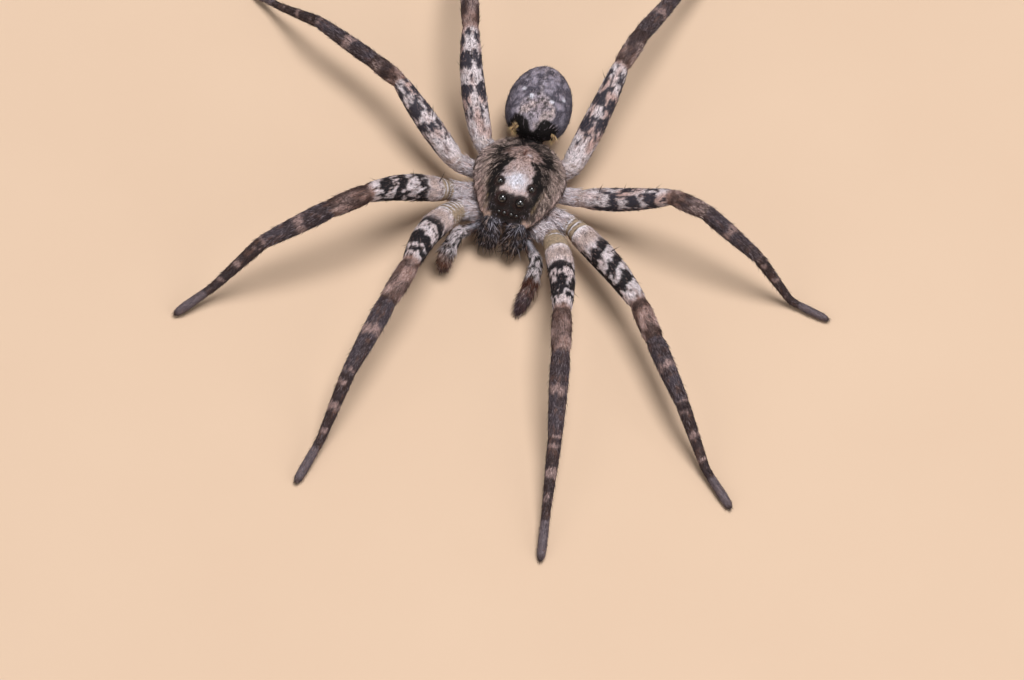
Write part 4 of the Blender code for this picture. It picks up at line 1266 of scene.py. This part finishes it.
def new_material(name):
    """A material with its Principled shader, ready to be wired."""
    material = bpy.data.materials.new(name)
    material.use_nodes = True
    return material, material.node_tree, material.node_tree.nodes["Principled BSDF"]


# Repeats of each pattern to the metre.
CELL_SCALE, PIT_SCALE, CLOUD_SCALE, FLOOR_SCALE = 11000.0, 16000.0, 3500.0, 60.0


def skin_material():
    """Dull cuticle under the coat, finely pitted, in the coat's own colours and darkened by painted shade."""
    material, tree, shader = new_material("spider_cuticle")
    place = put(tree, "ShaderNodeTexCoord").outputs["Object"]
    cells = put(tree, "ShaderNodeTexVoronoi", {"Vector": place, "Scale": CELL_SCALE})
    cell = put(tree, "ShaderNodeSeparateColor", {0: cells.outputs["Color"]}).outputs[0]
    # a Height of 0.6 darkens the skin as the hairs' roots are darkened: painted shade under the coat
    tone = put(tree, "ShaderNodeGroup", {"Shade": ranged(tree, cell, 0.4, 1.0), "Height": 0.6},
               node_tree=tone_group())
    pits = put(tree, "ShaderNodeTexNoise", {"Vector": place, "Scale": PIT_SCALE, "Detail": 2.0}).outputs[0]
    bump = put(tree, "ShaderNodeBump", {"Height": pits, "Strength": 0.6, "Distance": 0.00003})
    wire(tree, shader, {"Base Color": tone.outputs["Color"], "Roughness": ranged(tree, pits, 0.45, 0.75),
                        "Specular IOR Level": 0.25, "Normal": bump.outputs[0]})
    return material


def hair_material(name, roughness, variety, depth):
    """Hair in the coat's colours, each one its own shade, with painted shade darkening it towards its root.
    """
    material, tree, shader = new_material(name)
    shade, along = (put(tree, "ShaderNodeAttribute", attribute_name=name).outputs["Fac"]
                    for name in ("Shade", "Tip"))
    tone = put(tree, "ShaderNodeGroup", {"Shade": shade, "Height": along, "Variety": variety, "Depth": depth},
               node_tree=tone_group()).outputs
    rough = ranged(tree, tone["Sheen"], roughness - 0.08, roughness + 0.1)
    wire(tree, shader, {"Base Color": tone["Color"], "Roughness": rough, "Specular IOR Level": 0.2})
    return material


def clouded(tree, shader, scale, detail, dark, light):
    """Cloud the colour of a shader from dark to light; returns the cloud."""
    place = put(tree, "ShaderNodeTexCoord").outputs["Object"]
    cloud = put(tree, "ShaderNodeTexNoise", {"Vector": place, "Scale": scale, "Detail": detail}).outputs[0]
    wire(tree, shader, {"Base Color": blended(tree, cloud, (*dark, 1), (*light, 1))})
    return cloud


def horn_material(name, dark, light, roughness):
    """Glossy horn for eyes, fangs, claws and bristles, clouded from one colour to the other."""
    material, tree, shader = new_material(name)
    cloud = clouded(tree, shader, CLOUD_SCALE, 3.0, dark, light)
    wire(tree, shader, {"Roughness": ranged(tree, cloud, roughness * 0.8, roughness * 1.3)})
    return material


# ---------------------------------------------------------------- coat and bristles

def flesh_nodes():
    """Every soft part of the solids."""
    names = ["carapace", "sternum", "pedicel", "abdomen", "spinnerets"]
    for side in SIDES:
        names += [f"chelicera_{side}", f"palp_{side}"]
        names += [f"leg_{pair}_{side}_{part}" for pair in PAIRS for part in LEG_PARTS]
    return names


def settle(piece):
    """Fix a finished piece to the body."""
    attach(piece, "root")


# Each coat piece of the body: name, region, slot, and how it differs from the usual: how crowded its hairs
# are, how long, how far they lift from the skin, and which share stand out as guard hairs.
BODY_COAT = (("coat_carapace", COAT_CARAPACE, "carapace_coat", 1.7, 0.82, 0.10, 0.01),
             ("coat_abdomen", COAT_ABDOMEN, "abdomen_coat", 1.1, 1.0, 0.12, 0.02),
             ("coat_underside", COAT_UNDERSIDE, "underside", 0.9, 1.2, 0.20, 0.04),
             ("coat_jaws", COAT_JAWS, "jaws", 1.3, 1.05, 0.16, 0.03),
             ("coat_palps", COAT_PALPS, "palp_coat", 1.1, 1.0, 0.24, 0.08))
# The same for the part of four legs that each quarter of the spider has.
LEG_COAT = (("upper", COAT_UPPER, "upper_leg_coat", 1.0, 1.0, 0.13, 0.03),
            ("middle", COAT_MIDDLE, "middle_leg_coat", 1.05, 1.0, 0.18, 0.05),
            ("foot", COAT_FOOT, "foot_coat", 1.15, 1.0, 0.20, 0.06))
# Long hairs that stand out of the coat: name, region, slot, hairs on a square millimetre, length and lift.
LONG_HAIR = (("jaw_bristles", COAT_JAWS, "jaws", 80, 2.6, 0.11),
             ("carapace_long_hair", COAT_CARAPACE, "carapace_coat", 4, 1.5, 0.4),
             ("abdomen_long_hair", COAT_ABDOMEN, "abdomen_coat", 3, 1.4, 0.4))
TUFT_HAIRS = 110


def coat_pieces():
    """Every row of the lying coat."""
    return BODY_COAT + tuple((f"coat_{part}_{quarter}", first + index, *rest)
                             for index, quarter in enumerate(QUARTERS) for part, first, *rest in LEG_COAT)


def grow_coat(name, region, slot, density, length, **values):
    """Hair of one kind over one region of the skin."""
    piece = grown_piece(name, KEPT["skin"].data, KEPT["coat_tree"], Region=region, Density=density / MM ** 2,
                        Length=sizes_now().hair_length * length, Material=KEPT["hair"], **values)
    settle(piece)


def build_tufts():
    """Tufts of yellowish hair at the front of the abdomen."""
    roots = KEPT["tuft_roots"]
    rows = []
    for index in range(TUFT_HAIRS):
        pick = int(chance(index, 1, 0, 61) * len(roots[0])) % len(roots[0])
        root, out, forward = (values[pick] for values in roots)
        wobble = np.array([chance(index, 2, turn, 62) - 0.5 for turn in range(3)])
        aim = unit(out + forward * 0.7 + wobble * 0.9 + (0, 0, 0.25))
        length = 0.3 + 0.25 * chance(index, 3, 0, 63)
        rows.append((root - out * 0.02, aim, out, length, (0.1 + 0.007 * index, 0.5, 0)))
    cloud = bristle_cloud("tuft_points", rows)
    for label, paint in (("Tone", colours().straw), ("Fleck", colours().umber)):
        store(cloud, label, "FLOAT_COLOR", np.tile(paint, (TUFT_HAIRS, 1)))
    store(cloud, "Flecks", "FLOAT", np.full(TUFT_HAIRS, 0.2))
    settle(grown_piece("abdomen_tufts", cloud, KEPT["bristle_tree"], Thickness=0.07, Bend=0.15, Sides=4,
                       Segments=3, Seed=sizes_now().seed, Material=KEPT["hair"]))


def build_coat():
    """The short lying coat, one piece for each region of the skin, then the tufts and the long hairs."""
    sizes = sizes_now()
    KEPT["hair_tree"] = hair_tree()
    KEPT["coat_tree"], KEPT["bristle_tree"] = coat_tree(), bristle_tree()
    KEPT["hair"] = hair_material("spider_coat", 0.55, 0.85, 0.4)
    for name, region, slot, crowd, length, lift, guard in coat_pieces():
        grow_coat(name, region, slot, sizes.coat_density * crowd, length, Lift=lift, Spread=0.22, Bend=0.10,
                  Thickness=sizes.hair_thickness / sizes.hair_length, Guard_share=guard, Segments=1,
                  Seed=sizes.seed + region)
    build_tufts()
    for name, region, slot, density, length, lift in LONG_HAIR:
        grow_coat(name, region, slot, density, length, Lift=lift, Spread=0.45, Bend=0.22,
                  Thickness=sizes.hair_thickness / (sizes.hair_length * length), Guard_share=0.1, Segments=3,
                  Seed=sizes.seed + 60 + region)


# Spines of one leg: segment, share of it, angle from the top towards the front, length and lean from the leg.
LONE_SPINES = ((FEMUR, 0.22, 8, 1.25, 68), (FEMUR, 0.50, -12, 1.05, 62), (FEMUR, 0.74, 10, 0.95, 58),
               (FEMUR, 0.62, 70, 0.7, 45), (FEMUR, 0.80, -75, 0.7, 45), (PATELLA, 0.85, 0, 0.55, 45),
               (TIBIA, 0.30, 85, 0.6, 38), (TIBIA, 0.70, 85, 0.6, 36), (TIBIA, 0.35, -85, 0.6, 38),
               (TIBIA, 0.74, -85, 0.6, 36))
PAIRED_SPINES = ((TIBIA, 0.15, 155, 0.8, 30), (TIBIA, 0.52, 155, 0.8, 28), (TIBIA, 0.92, 150, 0.6, 28),
                 (METATARSUS, 0.08, 150, 0.75, 30), (METATARSUS, 0.48, 150, 0.6, 30),
                 (METATARSUS, 0.42, 90, 0.5, 34), (METATARSUS, 0.93, 120, 0.4, 34))
SPINES = LONE_SPINES + tuple((segment, share, sign * angle, length, lean)
                             for segment, share, angle, length, lean in PAIRED_SPINES for sign in (1, -1))


def bristle_cloud(name, rows):
    """Points in metres that carry the aim, bow and size of their bristles, and their place on the map."""
    places, aims, bows, lengths, spots = (np.array(column, dtype=float) for column in zip(*rows))
    cloud = object_from(name, places * MM, [])
    mesh = cloud.data
    store(mesh, "Aim", "FLOAT_VECTOR", aims)
    store(mesh, "Bow", "FLOAT_VECTOR", bows)
    store(mesh, "Size", "FLOAT", lengths * MM)
    store(mesh, "Spot", "FLOAT_VECTOR", spots)
    bpy.data.objects.remove(cloud)
    return mesh


def legs():
    return [limb for limb in KEPT["limbs"] if limb.pair]


def build_spines():
    """Long dark spines on the legs."""
    sizes = sizes_now()
    rows = []
    for number, limb in enumerate(legs()):
        for index, (segment, share, angle, length, lean) in enumerate(SPINES):
            if limb.pair == 1 and index == 0:       # the folds of the first legs are bare
                continue
            wobble = [chance(number, index, turn, 5) - 0.5 for turn in range(4)]
            steps = np.flatnonzero(limb.segment == segment)
            step = steps[np.argmin(np.abs(limb.share[steps] - share - 0.06 * wobble[0]))]
            turn = math.radians(angle + 24 * wobble[1])
            out = limb.upward[step] * math.cos(turn) + limb.front[step] * math.sin(turn)
            lean = math.radians(lean + 14 * wobble[2])
            aim = limb.heading[step] * math.cos(lean) + out * math.sin(lean)
            root = limb.places[step] + out * (limb.radii[step] - 0.14)
            length = length * (1 + 0.3 * wobble[3]) * sizes.spine_share
            if root[2] + aim[2] * length < SPINE_FLOOR:
                length = max((root[2] - SPINE_FLOOR) / max(-aim[2], 0.1), 0.12)
            rows.append((root, aim, out, length, (number / 10 + 0.02, 0.05 + 0.9 * index / len(SPINES), 0)))
    dark = horn_material("spider_spine", (0.012, 0.008, 0.007), (0.045, 0.026, 0.018), 0.3)
    settle(grown_piece("leg_spines", bristle_cloud("spine_roots", rows), KEPT["bristle_tree"],
                       Thickness=sizes.spine_thickness / MM, Bend=0.12, Sides=6, Segments=4, Seed=sizes.seed,
                       Material=dark))


def build_claws():
    """Two small curved claws at the tip of every leg."""
    sizes = sizes_now()
    rows = []
    for number, limb in enumerate(legs()):
        tip, heading = limb.places[-1], limb.heading[-1]
        for index, sign in enumerate((-1, 1)):
            root = tip - heading * 0.10 + limb.front[-1] * sign * 0.07 + np.array((0, 0, 0.05))
            aim = unit(heading + limb.front[-1] * sign * 0.18 + np.array((0, 0, 0.35)))
            spot = (0.1 * number, 0.3 + 0.4 * index, 0)
            rows.append((root, aim, (0.0, 0.0, 1.0), sizes.claw_length / MM, spot))
    dark = horn_material("spider_claw", (0.010, 0.006, 0.005), (0.05, 0.02, 0.012), 0.22)
    settle(grown_piece("claws", bristle_cloud("claw_roots", rows), KEPT["bristle_tree"], Thickness=0.2,
                       Bend=0.45, Sides=8, Segments=5, Seed=sizes.seed, Material=dark))


def smooth_piece(name, corners, faces, material):
    """A smooth piece of one material, from corners in millimetres."""
    piece = object_from(name, corners * MM, faces)
    piece.data.shade_smooth()
    piece.data.materials.append(material)
    return piece


def build_fangs():
    """Smooth curved fangs in the place of their solids."""
    dark = horn_material("spider_fang", (0.035, 0.006, 0.003), (0.09, 0.016, 0.008), 0.14)
    for side in SIDES:
        centres, radii = ring_line(node_rings(f"fang_{side}", FANG_RING_SIDES))
        if centres[0, 2] < centres[-1, 2]:
            centres, radii = centres[::-1], radii[::-1]
        order = np.arange(len(centres))
        reach = np.linspace(0, order[-1], 22)
        line = smoothed(np.stack([np.interp(reach, order, centres[:, axis]) for axis in range(3)], 1), 8)
        thick = smoothed(np.interp(reach, order, radii), 6)
        thick = thick * (1 - 0.75 * ramp(reach, order[-1] - 1.2, order[-1]))
        corners, faces = tube(line, thick, unit(np.gradient(line, axis=0) + (1e-4, 0, 0)), 16)
        piece = smooth_piece(f"fang_smooth_{side}", corners, faces, dark)
        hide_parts(f"fang_{side}")
        settle(piece)


def build_eyes():
    """Eight glossy eyes, each round and smooth in the place of its solid."""
    gloss = horn_material("spider_eye", (0.0015, 0.001, 0.001), (0.006, 0.003, 0.003), 0.05)
    wire(gloss.node_tree, gloss.node_tree.nodes["Principled BSDF"], {
        "Specular IOR Level": 0.4, "Coat Weight": 0.8, "Coat IOR": 1.65, "Coat Roughness": 0.04})
    for name in EYES:
        for side in SIDES:
            low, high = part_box(f"{name}_{side}")
            radius = max(high - low) / 2 / MM
            corners, faces = ball(middle_of(f"{name}_{side}"), (radius,) * 3, 24, 40)
            piece = smooth_piece(f"{name}_{side}_lens", corners, faces, gloss)
            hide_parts(f"{name}_{side}")
            settle(piece)


# ---------------------------------------------------------------- stage

CAMERA_RISE, CAMERA_TURN, CAMERA_ROLL = math.radians(57), math.radians(2.5), math.radians(14.3)
CAMERA_DISTANCE = 0.275
CAMERA_TARGET = (0.0026, -0.010046)     # from the middle of the carapace, on the floor
FLOOR_REACH = 3.0                       # half width of the floor
# Each lamp: name, place, size and power against the key light's.
LAMPS = (("key", (0.02, 0.03, 0.55), 0.30, 1.0), ("fill", (-0.35, -0.45, 0.40), 0.5, 0.30),
         ("rim", (0.5, -0.2, 0.35), 0.5, 0.28))


def looking_back(place, way):
    """Matrix of a lamp or camera that stands at a place and looks against the way given."""
    return Matrix.Translation(place) @ way.to_track_quat("Z", "Y").to_matrix().to_4x4()


def build_stage():
    """Pale floor, soft studio light and the camera."""
    scene = bpy.context.scene
    sizes = sizes_now()
    scene.view_settings.view_transform = "Standard"
    corners = [(x * FLOOR_REACH, y * FLOOR_REACH, 0.0) for x, y in ((-1, -1), (1, -1), (1, 1), (-1, 1))]
    floor = object_from("floor", corners, [(0, 1, 2, 3)])
    material, tree, shader = new_material("pale_floor")
    clouded(tree, shader, FLOOR_SCALE, 4.0, (0.59, 0.42, 0.298), (0.625, 0.455, 0.327))
    wire(tree, shader, {"Roughness": 0.8})
    floor.data.materials.append(material)
    for name, where, size, share in LAMPS:
        lamp = bpy.data.lights.new(name, "AREA")
        lamp.shape, lamp.size, lamp.energy = "DISK", size, sizes.key_power * share
        linked(name, lamp).matrix_world = looking_back(where, Vector(where))
    world = bpy.data.worlds.new("soft_sky")
    world.use_nodes = True
    wire(world.node_tree, world.node_tree.nodes["Background"], {
        0: (1.0, 0.96, 0.92, 1), 1: sizes.sky_strength})
    scene.world = world
    low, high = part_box("carapace")
    target = Vector(((low.x + high.x) / 2 + CAMERA_TARGET[0], (low.y + high.y) / 2 + CAMERA_TARGET[1], 0))
    level = math.cos(CAMERA_RISE)
    towards = Vector((math.sin(CAMERA_TURN) * level, -math.cos(CAMERA_TURN) * level, math.sin(CAMERA_RISE)))
    lens = bpy.data.cameras.new("camera")
    lens.lens, lens.sensor_width, lens.clip_start = 150, 36, 0.01
    camera = linked("camera", lens)
    camera.matrix_world = (looking_back(target + towards * CAMERA_DISTANCE, towards)
                           @ Matrix.Rotation(CAMERA_ROLL, 4, "Z"))
    scene.camera = camera


# ---------------------------------------------------------------- the add-on

def tone(label, about, value):
    return FloatVectorProperty(name=label, description=about, subtype="COLOR", size=3, min=0, max=1,
                               default=value)


def measure(label, about, value):
    return FloatProperty(name=label, description=about, default=value, unit="LENGTH", precision=6)


class SpiderColours(bpy.types.PropertyGroup):
    """Colours of the coat."""
    white: tone("White", "Whitest hair, behind the eyes", (0.9, 0.87, 0.97))
    pale: tone("Pale", "Pale hair of the femora", (0.84, 0.66, 0.62))
    rose: tone("Rose", "Pinkish-grey hair of legs and carapace", (0.68, 0.445, 0.395))
    ash: tone("Ash", "Bluish-grey hair", (0.34, 0.275, 0.3))
    mist: tone("Mist", "Bluish-grey hair of abdomen and jaws", (0.46, 0.41, 0.5))
    charcoal: tone("Charcoal", "Dark grey of the abdomen", (0.12, 0.105, 0.14))
    slate: tone("Slate", "Grey-brown of the feet", (0.09, 0.068, 0.082))
    bark: tone("Bark", "Dark brown", (0.06, 0.034, 0.03))
    umber: tone("Umber", "Middle brown", (0.34, 0.18, 0.135))
    rust: tone("Rust", "Reddish brown of grooves and rims", (0.085, 0.02, 0.012))
    tan: tone("Tan", "Tan streaks of the carapace", (0.5, 0.34, 0.25))
    straw: tone("Straw", "Yellowish hair", (0.9, 0.63, 0.32))
    khaki: tone("Khaki", "Bare skin of the hip joints", (0.37, 0.275, 0.19))
    soot: tone("Soot", "Black bands and patches", (0.01, 0.007, 0.007))


class SpiderSizes(bpy.types.PropertyGroup):
    """Sizes of the skin, the coat and the bristles."""
    coat_depth: measure("Coat depth", "How far the skin lies inside the outline", 0.000035)
    skin_step: measure("Skin step", "Width of the skin's faces", 0.000118)
    hair_length: measure("Hair length", "Usual length of a hair", 0.00021)
    hair_thickness: measure("Hair thickness", "Usual thickness of a hair", 0.00003)
    coat_density: FloatProperty(name="Coat density", description="Hairs on a square millimetre", default=330)
    spine_share: FloatProperty(name="Spine length", description="Length of the spines against the usual",
                               default=1.0, subtype="FACTOR")
    spine_thickness: measure("Spine thickness", "Thickness of a spine a millimetre long", 0.000055)
    claw_length: measure("Claw length", "Length of a claw", 0.00026)
    key_power: FloatProperty(name="Key light", description="Power of the main light", default=3.3,
                             unit="POWER")
    sky_strength: FloatProperty(name="Sky", description="Strength of the soft light all round", default=0.17)
    seed: IntProperty(name="Seed", description="Start of the random draws", default=7)


class SPIDER_OT_skin(bpy.types.Operator):
    """Build the skin that replaces every soft part of the solids"""
    bl_idname = "spider.skin"
    bl_label = "Skin"

    def execute(self, context):
        build_skin()
        return {"FINISHED"}


class SPIDER_OT_coat(bpy.types.Operator):
    """Grow the coat of short hair, region by region"""
    bl_idname = "spider.coat"
    bl_label = "Coat"

    def execute(self, context):
        build_coat()
        return {"FINISHED"}


class SPIDER_OT_spines(bpy.types.Operator):
    """Set the long spines on the legs"""
    bl_idname = "spider.spines"
    bl_label = "Spines"

    def execute(self, context):
        build_spines()
        return {"FINISHED"}


class SPIDER_OT_claws(bpy.types.Operator):
    """Set two claws at the tip of each leg, and shape the fangs"""
    bl_idname = "spider.claws"
    bl_label = "Claws and fangs"

    def execute(self, context):
        build_claws()
        build_fangs()
        return {"FINISHED"}


class SPIDER_OT_eyes(bpy.types.Operator):
    """Make the eight eyes"""
    bl_idname = "spider.eyes"
    bl_label = "Eyes"

    def execute(self, context):
        build_eyes()
        return {"FINISHED"}


class SPIDER_OT_finish_skin(bpy.types.Operator):
    """Let the finished skin stand for the soft solids"""
    bl_idname = "spider.finish_skin"
    bl_label = "Finish the skin"

    def execute(self, context):
        skin = KEPT["skin"]
        without_helpers(skin.data)
        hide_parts(*flesh_nodes())
        settle(skin)
        return {"FINISHED"}


class SPIDER_OT_stage(bpy.types.Operator):
    """Set the floor, the lights and the camera"""
    bl_idname = "spider.stage"
    bl_label = "Stage"

    def execute(self, context):
        build_stage()
        return {"FINISHED"}


OPERATORS = (SPIDER_OT_skin, SPIDER_OT_coat, SPIDER_OT_spines, SPIDER_OT_claws, SPIDER_OT_eyes,
             SPIDER_OT_finish_skin, SPIDER_OT_stage)


class SPIDER_PT_looks(bpy.types.Panel):
    """Panel that lists the spider's steps, sizes and colours."""
    bl_label = "Wolf Spider"
    bl_space_type = "VIEW_3D"
    bl_region_type = "UI"
    bl_category = "Spider"

    def draw(self, context):
        for step in OPERATORS:
            self.layout.operator(step.bl_idname)
        for group in (context.scene.spider_sizes, context.scene.spider_colours):
            for name in type(group).__annotations__:
                self.layout.prop(group, name)


CLASSES = (SpiderColours, SpiderSizes, *OPERATORS, SPIDER_PT_looks)


def register():
    for item in CLASSES:
        bpy.utils.register_class(item)
    bpy.types.Scene.spider_colours = PointerProperty(type=SpiderColours)
    bpy.types.Scene.spider_sizes = PointerProperty(type=SpiderSizes)


def unregister():
    del bpy.types.Scene.spider_sizes
    del bpy.types.Scene.spider_colours
    for item in reversed(CLASSES):
        bpy.utils.unregister_class(item)


def main():
    register()
    for step in OPERATORS:
        group, name = step.bl_idname.split(".")
        getattr(getattr(bpy.ops, group), name)()
    bpy.context.view_layer.update()


if __name__ == "__main__":
    main()
